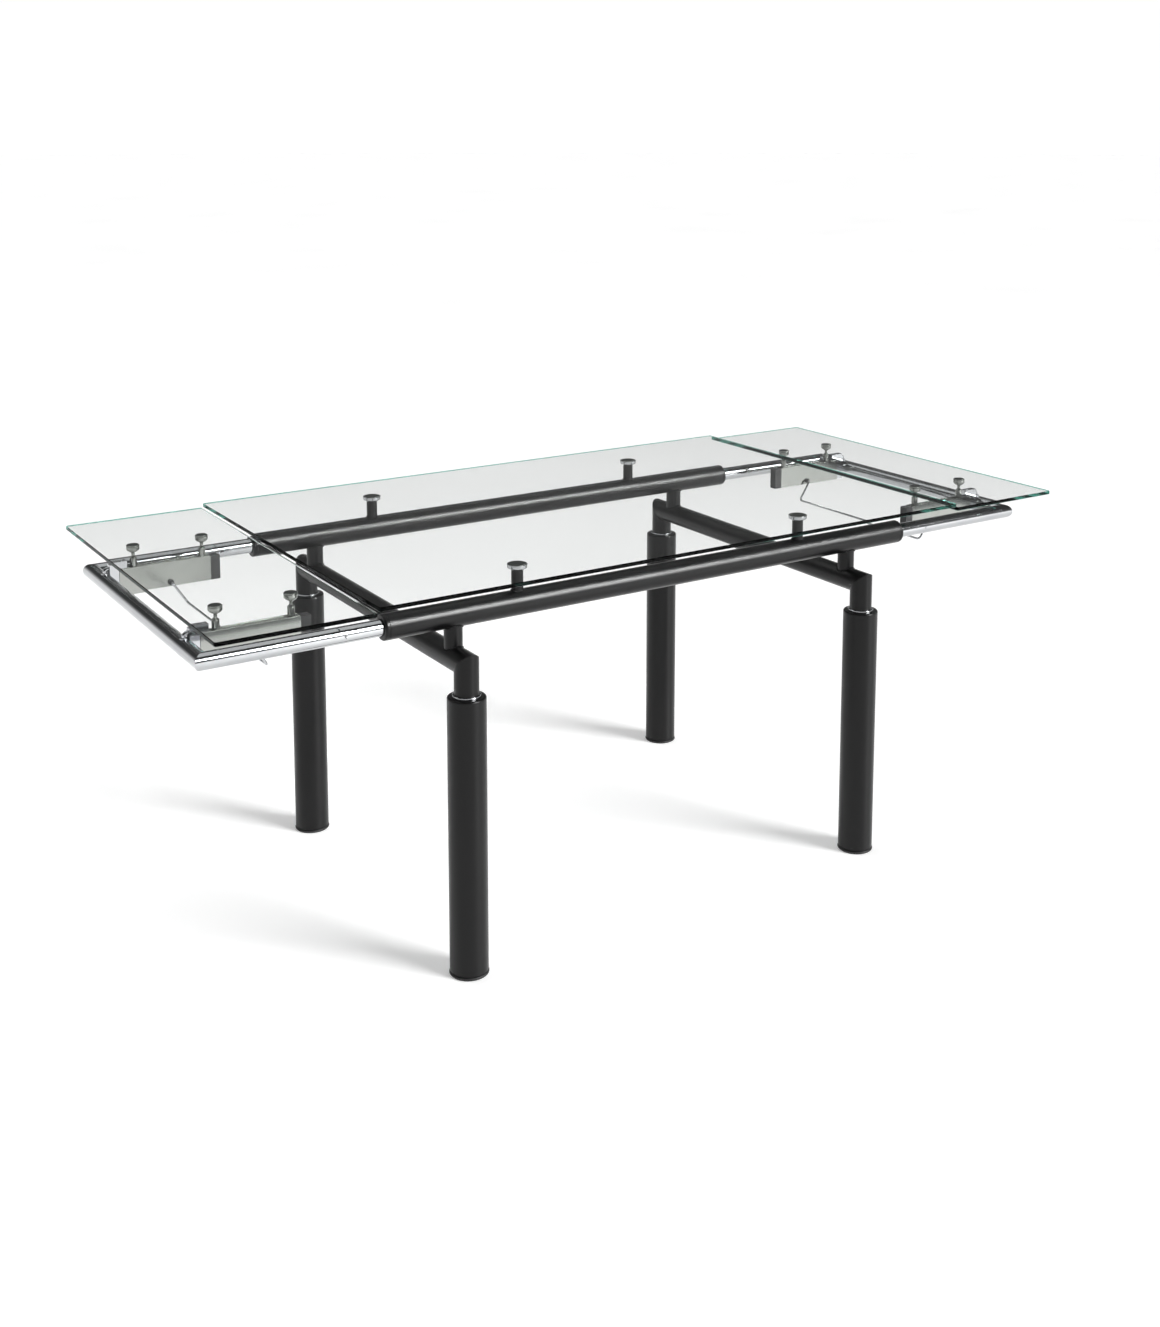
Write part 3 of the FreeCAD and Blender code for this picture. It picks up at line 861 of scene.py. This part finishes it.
def screw_recipe() -> Recipe:
    """Button-head socket screws on points, each turned to face its own way.

    Returns:
        The recipe.
    """
    r = Recipe("socket_screws", {"Head radius": ("NodeSocketFloat", 0.003),
                                 "Head height": ("NodeSocketFloat", 0.0012),
                                 "Seed": ("NodeSocketInt", 3),
                                 "Material": ("NodeSocketMaterial", None)})
    head = r.node("GeometryNodeMeshCylinder", None,
                  {"Vertices": 24, "Radius": r.source["Head radius"],
                   "Depth": r.source["Head height"]})
    half = r.node("ShaderNodeMath", {"operation": "MULTIPLY"},
                  {0: r.source["Head radius"], 1: 0.5})
    key = r.node("GeometryNodeMeshCylinder", None,
                 {"Vertices": 6, "Radius": half.outputs[0], "Depth": 0.01})
    lift = r.node("GeometryNodeTransform", None,
                  {"Geometry": key.outputs[0], "Translation": (0, 0, 0.005)})
    bored = r.node("GeometryNodeMeshBoolean", {"operation": "DIFFERENCE"},
                   {0: head.outputs[0], 1: lift.outputs[0]})
    way = r.node("GeometryNodeInputNamedAttribute", {"data_type": "FLOAT_VECTOR"},
                 {"Name": "facing"})
    turn = r.node("FunctionNodeAlignRotationToVector", {"axis": "Z"},
                  {"Vector": way.outputs[0]})
    spin = r.node("FunctionNodeRandomValue", {"data_type": "FLOAT_VECTOR"},
                  {0: (0, 0, 0), 1: (0, 0, 1.05), "Seed": r.source["Seed"]})
    many = r.node("GeometryNodeInstanceOnPoints", None,
                  {"Points": r.source["Geometry"], "Instance": bored.outputs[0],
                   "Rotation": turn.outputs[0]})
    spun = r.node("GeometryNodeRotateInstances", None,
                  {"Instances": many.outputs[0], "Rotation": spin.outputs[0]})
    r.close(spun.outputs[0])
    return r


# --------------------------------------------------------------------------- sub-assemblies
def middle(node: str) -> Vector:
    """The middle of a CAD node's box."""
    low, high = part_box(node)
    return (low + high) / 2


def in_corners(low: Vector, high: Vector, inset: float) -> list[tuple[float, float]]:
    """The places (x, y) of four round pieces that fill a box's corners.

    Args:
        low: The box's lowest corner.
        high: The box's highest corner.
        inset: The pieces' radius.

    Returns:
        The four places.
    """
    return [(x, y) for x in (low.x + inset, high.x - inset)
            for y in (low.y + inset, high.y - inset)]


def rounded_path(corners: Sequence[Vector], bends: Sequence[float], steps: int = 8
                 ) -> list[Vector]:
    """A path through corners, each turned on an arc.

    Args:
        corners: The path's corners, ends included.
        bends: Bend radius at each inner corner, at a right angle.
        steps: Segments in each arc.

    Returns:
        Points along the path.
    """
    path = [corners[0]]
    for before, here, after, bend in zip(corners, corners[1:], corners[2:], bends):
        back, ahead = (before - here).normalized(), (after - here).normalized()
        centre = here + (back + ahead) * bend
        for k in range(steps + 1):
            angle = math.pi / 2 * k / steps
            path.append(centre - ahead * bend * math.cos(angle) - back * bend * math.sin(angle))
    path.append(corners[-1])
    return path


def saddle(centre: Vector, post: float, tube: float, along_x: bool, above: bool,
           count: int = 72) -> list[Vector]:
    """The closed line where an upright round post meets a level round tube.

    Args:
        centre: The crossing point of the two axes.
        post: The post's radius.
        tube: The tube's radius.
        along_x: Whether the tube runs along X, and not Y.
        above: Whether the post stands on the tube, and doesn't hang under it.
        count: Points on the line.

    Returns:
        Points on the line.
    """
    line = []
    for i in range(count):
        angle = 2 * math.pi * i / count
        dx, dy = post * math.cos(angle), post * math.sin(angle)
        rise = math.sqrt(tube ** 2 - (dy if along_x else dx) ** 2)
        line.append(centre + Vector((dx, dy, rise if above else -rise)))
    return line


@dataclass
class GlassTop:
    """The middle pane and the two leaves."""

    nodes: dict[str, bpy.types.Object]

    def build(self) -> None:
        """Finish the three panes."""
        panes = ("middle_glass", "left_leaf_glass", "right_leaf_glass")
        coat(self.nodes, Finish.GLASS, panes)
        for pane in panes:
            self.nodes[pane].visible_shadow = False


@dataclass
class Legs:
    """The four legs with their shoulders, chrome rings and levelling feet."""

    nodes: dict[str, bpy.types.Object]
    neck_radius: float = 0.024
    ring_width: float = 0.0035
    ring_height: float = 0.004
    shoulder_bend: float = 0.0045
    spigot_gap: float = 0.0026
    spigot_depth: float = 0.02
    stud_radius: float = 0.005
    disc_height: float = 0.006
    rib_radius: float = 0.0006
    rib_middle: float = 0.003
    rib_height: float = 0.0024
    rib_count: int = 72
    sides: int = 96

    def places(self) -> list[tuple[str, Vector, Vector]]:
        """Each leg tube's tag with its box's corners."""
        return [(f"{s}_{r}", *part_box(f"leg_tube_{s}_{r}")) for s in SIDES for r in ROWS]

    def build(self, ribs: Recipe) -> None:
        """Build the shoulders, rings and feet, and finish the tubes.

        Args:
            ribs: The recipe for the ribs on a foot's rim.
        """
        painted = [n for n in self.nodes if n.startswith(("leg_tube", "leg_neck", "crossbar"))]
        coat(self.nodes, Finish.BLACK, painted)
        coat(self.nodes, Finish.DRAWN, ("foot_inserts",))
        shoulders = Maker("leg_shoulders", Finish.BLACK, FRAME_BODY)
        rings = Maker("leg_rings", Finish.CHROME, FRAME_BODY)
        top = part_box("leg_collars")[0].z
        for tag, low, high in self.places():
            outer = (high.x - low.x) / 2
            spot = Vector(((low.x + high.x) / 2, (low.y + high.y) / 2, high.z))
            rise = top - high.z
            spigot, depth = outer - self.spigot_gap, self.spigot_depth
            shoulders.turn([(self.neck_radius, -depth, 0), (spigot, -depth, 0),
                            (spigot, 0, 0), (outer, 0, 0), (outer, rise, self.shoulder_bend),
                            (self.neck_radius, rise, 0)], spot, sides=self.sides)
            edge = self.neck_radius + self.ring_width
            rings.turn([(self.neck_radius, 0, 0), (edge, 0, 0.0004),
                        (edge, self.ring_height, 0.0022),
                        (self.neck_radius, self.ring_height, 0)],
                       spot + Vector((0, 0, rise)), sides=self.sides)
            self.foot(tag, ribs)
        shoulders.finished("leg_caps")
        rings.finished("leg_collars")

    def foot(self, tag: str, ribs: Recipe) -> None:
        """Build one levelling foot: a ribbed disc on a stud.

        Args:
            tag: The foot's end and row.
            ribs: The recipe for the ribs on its rim.
        """
        low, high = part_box(f"foot_{tag}")
        spot = Vector(((low.x + high.x) / 2, (low.y + high.y) / 2, low.z))
        outer, stud, thick = (high.x - low.x) / 2, self.stud_radius, self.disc_height
        disc = Maker(f"foot_disc_{tag}", Finish.NYLON, f"{tag}_foot")
        disc.turn([(0, 0, 0), (outer - 0.002, 0, 0.0008), (outer - 0.0005, 0.0015, 0.0008),
                   (outer - 0.0005, thick, 0.0018), (stud + 0.003, thick, 0.001),
                   (stud, thick + 0.001, 0.0005), (stud, high.z - 0.001, 0.0004),
                   (stud - 0.001, high.z, 0), (0, high.z, 0)], spot, sides=self.sides)
        disc.finished(f"foot_{tag}")
        seed = point_mesh(f"foot_spot_{tag}",
                          [(spot + Vector((0, 0, self.rib_middle)), Vector((0, 0, 1)))])
        ribs.run(f"foot_grip_{tag}", seed, Finish.NYLON, f"{tag}_foot",
                 Rim_radius=outer - self.rib_radius, Rib_radius=self.rib_radius,
                 Rib_height=self.rib_height, Count=self.rib_count)


@dataclass
class RailFrame:
    """The two rails with their end collars, posts, stems, cup pads and welds."""

    nodes: dict[str, bpy.types.Object]
    rail_radius: float = 0.025
    bar_radius: float = 0.024
    rod_bore: float = 0.01606
    collar_length: float = 0.009
    collar_bend: float = 0.006
    sleeve_gap: float = 0.0022
    sleeve_depth: float = 0.05
    seam: float = 0.0007
    stem_radius: float = 0.0118
    cup_radius: float = 0.02
    cup_floor: float = 0.0084
    disc_radius: float = 0.0176
    bead: float = 0.0017
    bead_pitch: float = 0.0021
    post_gap: float = 0.0003
    stem_gap: float = 0.0002
    tube_gap: float = 0.0002

    def build(self, welds: Recipe) -> None:
        """Build collars, cup pads and welds, and finish the tubes.

        Args:
            welds: The recipe for weld beads.
        """
        painted = [n for n in self.nodes if n in ("rail_near", "rail_far", "middle_stems")
                   or n.startswith("rail_post")]
        coat(self.nodes, Finish.BLACK, painted)
        self.collars()
        self.cups()
        self.beads(welds)

    def collars(self) -> None:
        """Build the rounded collars that close the rails round the rods."""
        made = Maker("rail_collars", Finish.BLACK, FRAME_BODY)
        for row in ROWS:
            low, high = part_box(f"rail_{row}")
            centre = (low + high) / 2
            for side, sx in SIDES.items():
                spot = Vector((high.x if sx > 0 else low.x, centre.y, centre.z))
                outer, length, bore = self.rail_radius, self.collar_length, self.rod_bore
                sleeve, depth = outer - self.sleeve_gap, self.sleeve_depth
                seam = outer - self.seam
                made.turn([(bore, -depth, 0), (sleeve, -depth, 0), (sleeve, 0, 0),
                           (seam, 0, 0.0002), (seam, 0.0008, 0.0002), (outer, 0.0012, 0.0003),
                           (outer, length, self.collar_bend), (bore + 0.0012, length, 0.001),
                           (bore, length - 0.0012, 0)], spot, OUTWARD[side], 96)
        made.finished("rail_bushes")

    def cups(self) -> None:
        """Build the chrome cups on the stems and the soft discs that hold the glass."""
        cups = Maker("middle_cups", Finish.CHROME, FRAME_BODY)
        discs = Maker("middle_cup_discs", Finish.PAD, FRAME_BODY)
        low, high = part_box("middle_pucks")
        radius, base, soft, top = self.cup_radius, self.cup_floor, self.disc_radius, high.z - low.z
        for x, y in in_corners(low, high, radius):
            spot = Vector((x, y, low.z))
            cups.turn([(0, 0, 0), (0.0166, 0, 0.0006), (radius - 0.0003, 0.0022, 0.0012),
                       (radius - 0.0003, 0.0068, 0.0002), (radius, 0.0071, 0.0002),
                       (radius, 0.0092, 0.0007), (0.0186, 0.0092, 0.0003),
                       (0.0182, base, 0.0003), (0, base, 0)], spot, sides=96)
            discs.turn([(0, base, 0), (soft, base, 0.0002), (soft, top, 0.0004), (0, top, 0)],
                       spot)
        cups.finished("middle_pucks")
        discs.finished()

    def beads(self, welds: Recipe) -> None:
        """Lay the welds where posts and stems meet the tubes.

        Args:
            welds: The recipe for weld beads.
        """
        loops = []
        rail_z, bar_z = middle("rail_near").z, middle("crossbar_left").z
        rail, bar = self.rail_radius + self.tube_gap, self.bar_radius + self.tube_gap
        for side in SIDES:
            for row in ROWS:
                low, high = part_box(f"rail_post_{side}_{row}")
                x, y, post = (low.x + high.x) / 2, (low.y + high.y) / 2, (high.x - low.x) / 2
                post += self.post_gap
                loops.append(saddle(Vector((x, y, rail_z)), post, rail, True, False))
                loops.append(saddle(Vector((x, y, bar_z)), post, bar, False, True))
        stem = self.stem_radius + self.stem_gap
        for x, y in in_corners(*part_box("middle_stems"), self.stem_radius):
            loops.append(saddle(Vector((x, y, rail_z)), stem, rail, True, True, 48))
        welds.run("frame_welds", path_mesh("weld_lines", loops), Finish.BLACK, FRAME_BODY,
                  Bead=self.bead, Pitch=self.bead_pitch, Seed=11)


@dataclass
class Carriage:
    """One end's chrome slide frame with its lift housings and fittings."""

    side: str
    nodes: dict[str, bpy.types.Object]
    lip_width: float = 0.0026
    lip_height: float = 0.0014
    lip_sink: float = 0.0004
    stay_radius: float = 0.004
    stay_bend: float = 0.006
    stay_foot: float = 0.0155
    flange_height: float = 0.0158
    nut_radius: float = 0.0065
    nut_height: float = 0.004
    nut_inset: float = 0.012
    rod_radius: float = 0.016
    rod_screw_x: float = 0.717
    block_screw_inset: float = 0.006

    @property
    def body(self) -> str:
        """The body it rides on."""
        return f"{self.side}_carriage"

    def build(self, screws: Recipe) -> None:
        """Build the fittings and finish the tubes.

        Args:
            screws: The recipe for socket screws.
        """
        own = {n[len(self.side) + 1:]: n for n in self.nodes if n.startswith(f"{self.side}_")}
        coat(self.nodes, Finish.CHROME, (own["slide_rod_near"], own["slide_rod_far"],
                                         own["end_bar"], own["end_blocks"]))
        coat(self.nodes, Finish.POLISHED, (own["housing_near"], own["housing_far"]))
        coat(self.nodes, Finish.NYLON, (own["rod_glides"], own["housing_caps"],
                                        own["pivot_bushes"]))
        self.lips()
        self.stays()
        self.screws(screws)

    def lips(self) -> None:
        """Build the rolled lips along each housing's top edges."""
        made = Maker(f"{self.side}_housing_lips", Finish.POLISHED, self.body)
        for row in ROWS:
            low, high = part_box(f"{self.side}_housing_{row}")
            for y in (low.y, high.y - self.lip_width):
                outer = y + self.lip_width
                base, top = high.z - self.lip_sink, high.z + self.lip_height
                made.prism([(y, base), (outer, base), (outer, top), (y, top)], low.x, high.x)
        made.finished(bevel=0.0005)

    def stays(self) -> None:
        """Build the bent chrome stays, each with a hexagon nut against its block."""
        sx = SIDES[self.side]
        made = Maker(f"{self.side}_stay_bars", Finish.CHROME, self.body)
        low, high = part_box(f"{self.side}_stays")
        bar = middle(f"{self.side}_end_bar")
        for row in ROWS:
            y = middle(f"{self.side}_housing_{row}").y
            z = high.z - self.stay_radius
            start = high.x if sx < 0 else low.x
            corners = [Vector((start, y, z)), Vector((bar.x, y, z)),
                       Vector((bar.x, y, bar.z + self.stay_foot))]
            made.sweep(rounded_path(corners, [self.stay_bend]), self.stay_radius, 28)
            stay, nut, thick = self.stay_radius, self.nut_radius, self.nut_height
            made.turn([(stay, 0, 0), (nut, 0, 0.0006), (nut, thick, 0.0006), (stay, thick, 0)],
                      Vector((bar.x - sx * self.nut_inset, y, z)), OUTWARD[self.side], 6)
            made.turn([(stay, 0, 0), (nut + 0.001, 0, 0.0003), (nut + 0.001, 0.0016, 0.0005),
                       (stay, 0.0016, 0)],
                      Vector((bar.x, y, bar.z + self.flange_height)), Axis.UP, 32)
        made.finished(f"{self.side}_stays")

    def screws(self, screws: Recipe) -> None:
        """Set the flush rod screws and the button heads on the end blocks.

        Args:
            screws: The recipe for socket screws.
        """
        sx = SIDES[self.side]
        rods, blocks = [], []
        rod_x, inset = sx * self.rod_screw_x, self.block_screw_inset
        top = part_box(f"{self.side}_end_blocks")[1].z
        for row in ROWS:
            rod = middle(f"{self.side}_slide_rod_{row}")
            rods.append((Vector((rod_x, rod.y - self.rod_radius, rod.z)), Vector((0, -1, 0))))
            low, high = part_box(f"{self.side}_housing_{row}")
            x = high.x - inset if sx > 0 else low.x + inset
            y = (low.y + high.y) / 2
            blocks.append((Vector((x, y, top)), Vector((0, 0, 1))))
        screws.run(f"{self.side}_rod_screws", point_mesh("rod_screw_spots", rods),
                   Finish.CHROME, self.body, Head_radius=0.0028, Head_height=0.0004, Seed=5)
        screws.run(f"{self.side}_block_screws", point_mesh("block_screw_spots", blocks),
                   Finish.CHROME, self.body, Head_radius=0.0034, Head_height=0.003, Seed=9)


@dataclass
class LeafLift:
    """One end's lift pins and the chrome pads under its leaf."""

    side: str
    nodes: dict[str, bpy.types.Object]
    pin_radius: float = 0.0072
    neck_radius: float = 0.0034
    neck_length: float = 0.0055
    cone_height: float = 0.008
    head_radius: float = 0.0133
    disc_height: float = 0.0008

    def build(self) -> None:
        """Build the pins, pads and soft discs, and finish the hidden bars."""
        body = f"{self.side}_leaf"
        coat(self.nodes, Finish.DRAWN, (f"{self.side}_lift_bars",))
        pins = Maker(f"{self.side}_turned_pins", Finish.POLISHED, body)
        heads = Maker(f"{self.side}_turned_pads", Finish.POLISHED, body)
        discs = Maker(f"{self.side}_pad_discs", Finish.PAD, body)
        low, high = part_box(f"{self.side}_lift_pins")
        pad_low, pad_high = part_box(f"{self.side}_leaf_pads")
        rise, thick = high.z - low.z, pad_high.z - pad_low.z
        shoulder = rise - self.cone_height - self.neck_length
        neck_top = rise - self.cone_height + 0.0018
        pin, neck, head = self.pin_radius, self.neck_radius, self.head_radius
        seat = thick - self.disc_height
        for x, y in in_corners(pad_low, pad_high, head):
            pins.turn([(0, 0, 0), (pin, 0, 0.0005), (pin, shoulder - 0.0026, 0.0008),
                       (pin - 0.0024, shoulder, 0.0008), (neck, shoulder + 0.0006, 0.0006),
                       (neck, neck_top, 0.0016), (head - 0.0022, rise - 0.0012, 0.0024),
                       (head - 0.0016, rise, 0), (0, rise, 0)], Vector((x, y, low.z)))
            under = Vector((x, y, pad_low.z))
            heads.turn([(0, 0, 0), (head - 0.0014, 0, 0.0004), (head - 0.0002, 0.0013, 0.001),
                        (head - 0.0002, 0.0074, 0.0003), (head - 0.0009, 0.0078, 0.0002),
                        (head - 0.0009, 0.0084, 0.0002), (head, 0.0088, 0.0002),
                        (head, thick - 0.0014, 0.0007), (head - 0.0012, seat, 0.0003),
                        (0, seat, 0)], under)
            discs.turn([(0, seat, 0), (head - 0.0014, seat, 0.0002),
                        (head - 0.0014, thick, 0.0003), (0, thick, 0)], under)
        pins.finished(f"{self.side}_lift_pins")
        heads.finished(f"{self.side}_leaf_pads")
        discs.finished()


@dataclass
class LiftHandle:
    """One end's bent wire handle, which turns the cams that lift the leaf."""

    side: str
    nodes: dict[str, bpy.types.Object]
    joints: Sequence[dict[str, Any]]
    wire_radius: float = 0.0025
    drop: float = 0.056
    half_span: float = 0.218
    tilt: float = 34.0
    bends: tuple[float, float] = (0.007, 0.009)
    knob_radius: float = 0.0034

    def build(self) -> None:
        """Build the wire with its domed ends, and finish the cams."""
        body = f"{self.side}_lift_handle"
        coat(self.nodes, Finish.DRAWN, (f"{self.side}_handle_cams",))
        pivot = next(Vector(j["pos_m"]) for j in self.joints
                     if j["name"] == f"{self.side}_handle_turn")
        low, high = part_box(f"{self.side}_handle")
        end = high.y - self.knob_radius
        turn = Matrix.Rotation(math.radians(self.tilt * SIDES[self.side]), 3, "Y")
        flat = [(-end, 0), (-self.half_span, 0), (-self.half_span, -self.drop),
                (self.half_span, -self.drop), (self.half_span, 0), (end, 0)]
        corners = [pivot + turn @ Vector((0, y, z)) for y, z in flat]
        small, large = self.bends
        made = Maker(f"{self.side}_handle_wire", Finish.CHROME, body)
        made.sweep(rounded_path(corners, [small, large, large, small], 10),
                   self.wire_radius, 24)
        r = self.knob_radius
        for sign, axis in ((-1, Axis.NEAR), (1, Axis.FAR)):
            spot = pivot + Vector((0, sign * (end - r), 0))
            dome = [(r * math.cos(t), r + r * math.sin(t), 0)
                    for t in (math.pi / 2 * k / 8 for k in range(8))]
            made.turn([(0, 0.0004, 0), (r, 0.0004, 0.0003), *dome, (0, 2 * r, 0)],
                      spot, axis, 32)
        made.finished(f"{self.side}_handle")


# ------------------------------------------------------------------------ studio and camera
@dataclass(frozen=True)
class SoftLight:
    """A large soft studio light, far enough away to light the floor evenly."""

    name: str
    heading: float
    height: float
    spread: float
    strength: float
    distance: float = 6.0

    def build(self) -> None:
        """Hang the light and aim it at the table."""
        data = bpy.data.lights.new(self.name, "SUN")
        data.angle = math.radians(self.spread)
        data.energy = self.strength
        lamp = linked(self.name, data)
        turn, rise = math.radians(self.heading), math.radians(self.height)
        way = Vector((math.cos(turn) * math.cos(rise), math.sin(turn) * math.cos(rise),
                      math.sin(rise)))
        lamp.location = way * self.distance
        lamp.rotation_euler = (-way).to_track_quat("-Z", "Y").to_euler()


@dataclass
class Studio:
    """Pale floor, soft lights and a surround that is pale low down and dim overhead.

    The surround's heights are sines of the elevation.
    """

    floor_radius: float = 60.0
    horizon: float = 0.72
    overhead: float = 0.06
    backdrop: float = 1.02
    pale_up_to: float = 0.05
    dim_from: float = 0.35
    falloff: float = 3.0
    floor_sides: int = 96
    lights: tuple[SoftLight, ...] = (
        SoftLight("key_light", -57.0, 28.0, 25.0, 4.4),
        SoftLight("top_light", 60.0, 76.0, 60.0, 0.6),
        SoftLight("fill_light", 125.0, 52.0, 40.0, 0.35),
    )

    def build(self) -> None:
        """Lay the floor, hang the lights and colour the surround."""
        sides = self.floor_sides
        ring = [Vector((self.floor_radius * math.cos(2 * math.pi * i / sides),
                        self.floor_radius * math.sin(2 * math.pi * i / sides), 0.0))
                for i in range(sides)]
        mesh = bpy.data.meshes.new("studio_floor")
        mesh.from_pydata(ring, [], [tuple(range(sides))])
        mesh.materials.append(PaleFloor().make())
        floor = linked("studio_floor", mesh)
        for light in self.lights:
            light.build()
        self.surround()
        bpy.context.scene.view_settings.view_transform = "Standard"

    def surround(self) -> None:
        """Colour the surround: white behind the table, dimmer the higher it is."""
        world = bpy.data.worlds.new("studio_surround")
        world.use_nodes = True
        sky = NodeTree(world.node_tree)
        way = sky.node("ShaderNodeTexCoord").outputs["Generated"]
        height = sky.node("ShaderNodeSeparateXYZ", None, {0: way}).outputs[2]
        fall = sky.node("ShaderNodeMapRange", None,
                        {0: height, 1: self.pale_up_to, 2: self.dim_from, 3: 1.0, 4: 0.0})
        steep = sky.node("ShaderNodeMath", {"operation": "POWER"},
                         {0: fall.outputs[0], 1: self.falloff})
        both = sky.node("ShaderNodeMath", {"operation": "MULTIPLY_ADD"},
                        {0: steep.outputs[0], 1: self.horizon, 2: self.overhead})
        seen = sky.node("ShaderNodeLightPath").outputs["Is Camera Ray"]
        level = sky.node("ShaderNodeMapRange", None,
                         {0: seen, 1: 0.0, 2: 1.0, 3: both.outputs[0], 4: self.backdrop})
        back = sky.node("ShaderNodeBackground", None, {0: grey(1.0), 1: level.outputs[0]})
        end = sky.node("ShaderNodeOutputWorld", None, {0: back.outputs[0]})
        end.is_active_output = True
        bpy.context.scene.world = world


@dataclass(frozen=True)
class ViewCamera:
    """A standing viewer's camera off the table's near left corner."""

    place: tuple[float, float, float] = (-1.8735, -2.9366, 1.6339)
    heading: float = 32.55
    pitch: float = 7.79
    lens: float = 43.86
    shift: float = -0.25
    sensor: float = 36.0
    near_limit: float = 0.05
    far_limit: float = 200.0

    def build(self) -> None:
        """Make the camera the scene's own."""
        data = bpy.data.cameras.new("view_camera")
        data.lens, data.sensor_width = self.lens, self.sensor
        data.shift_y = self.shift
        data.clip_start, data.clip_end = self.near_limit, self.far_limit
        camera = linked("view_camera", data)
        camera.location = self.place
        camera.rotation_euler = (math.radians(90 - self.pitch), 0.0,
                                 math.radians(-self.heading))
        bpy.context.scene.camera = camera


def main() -> None:
    """Build the table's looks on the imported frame."""
    logging.basicConfig(level=logging.INFO, format="%(name)s: %(message)s")
    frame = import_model()
    nodes = frame["nodes"]
    welds, ribs, screws = weld_recipe(), rib_recipe(), screw_recipe()
    GlassTop(nodes).build()
    Legs(nodes).build(ribs)
    RailFrame(nodes).build(welds)
    for side in SIDES:
        Carriage(side, nodes).build(screws)
        LeafLift(side, nodes).build()
        LiftHandle(side, nodes, frame["joints"]).build()
    Studio().build()
    ViewCamera().build()


if __name__ == "__main__":
    main()
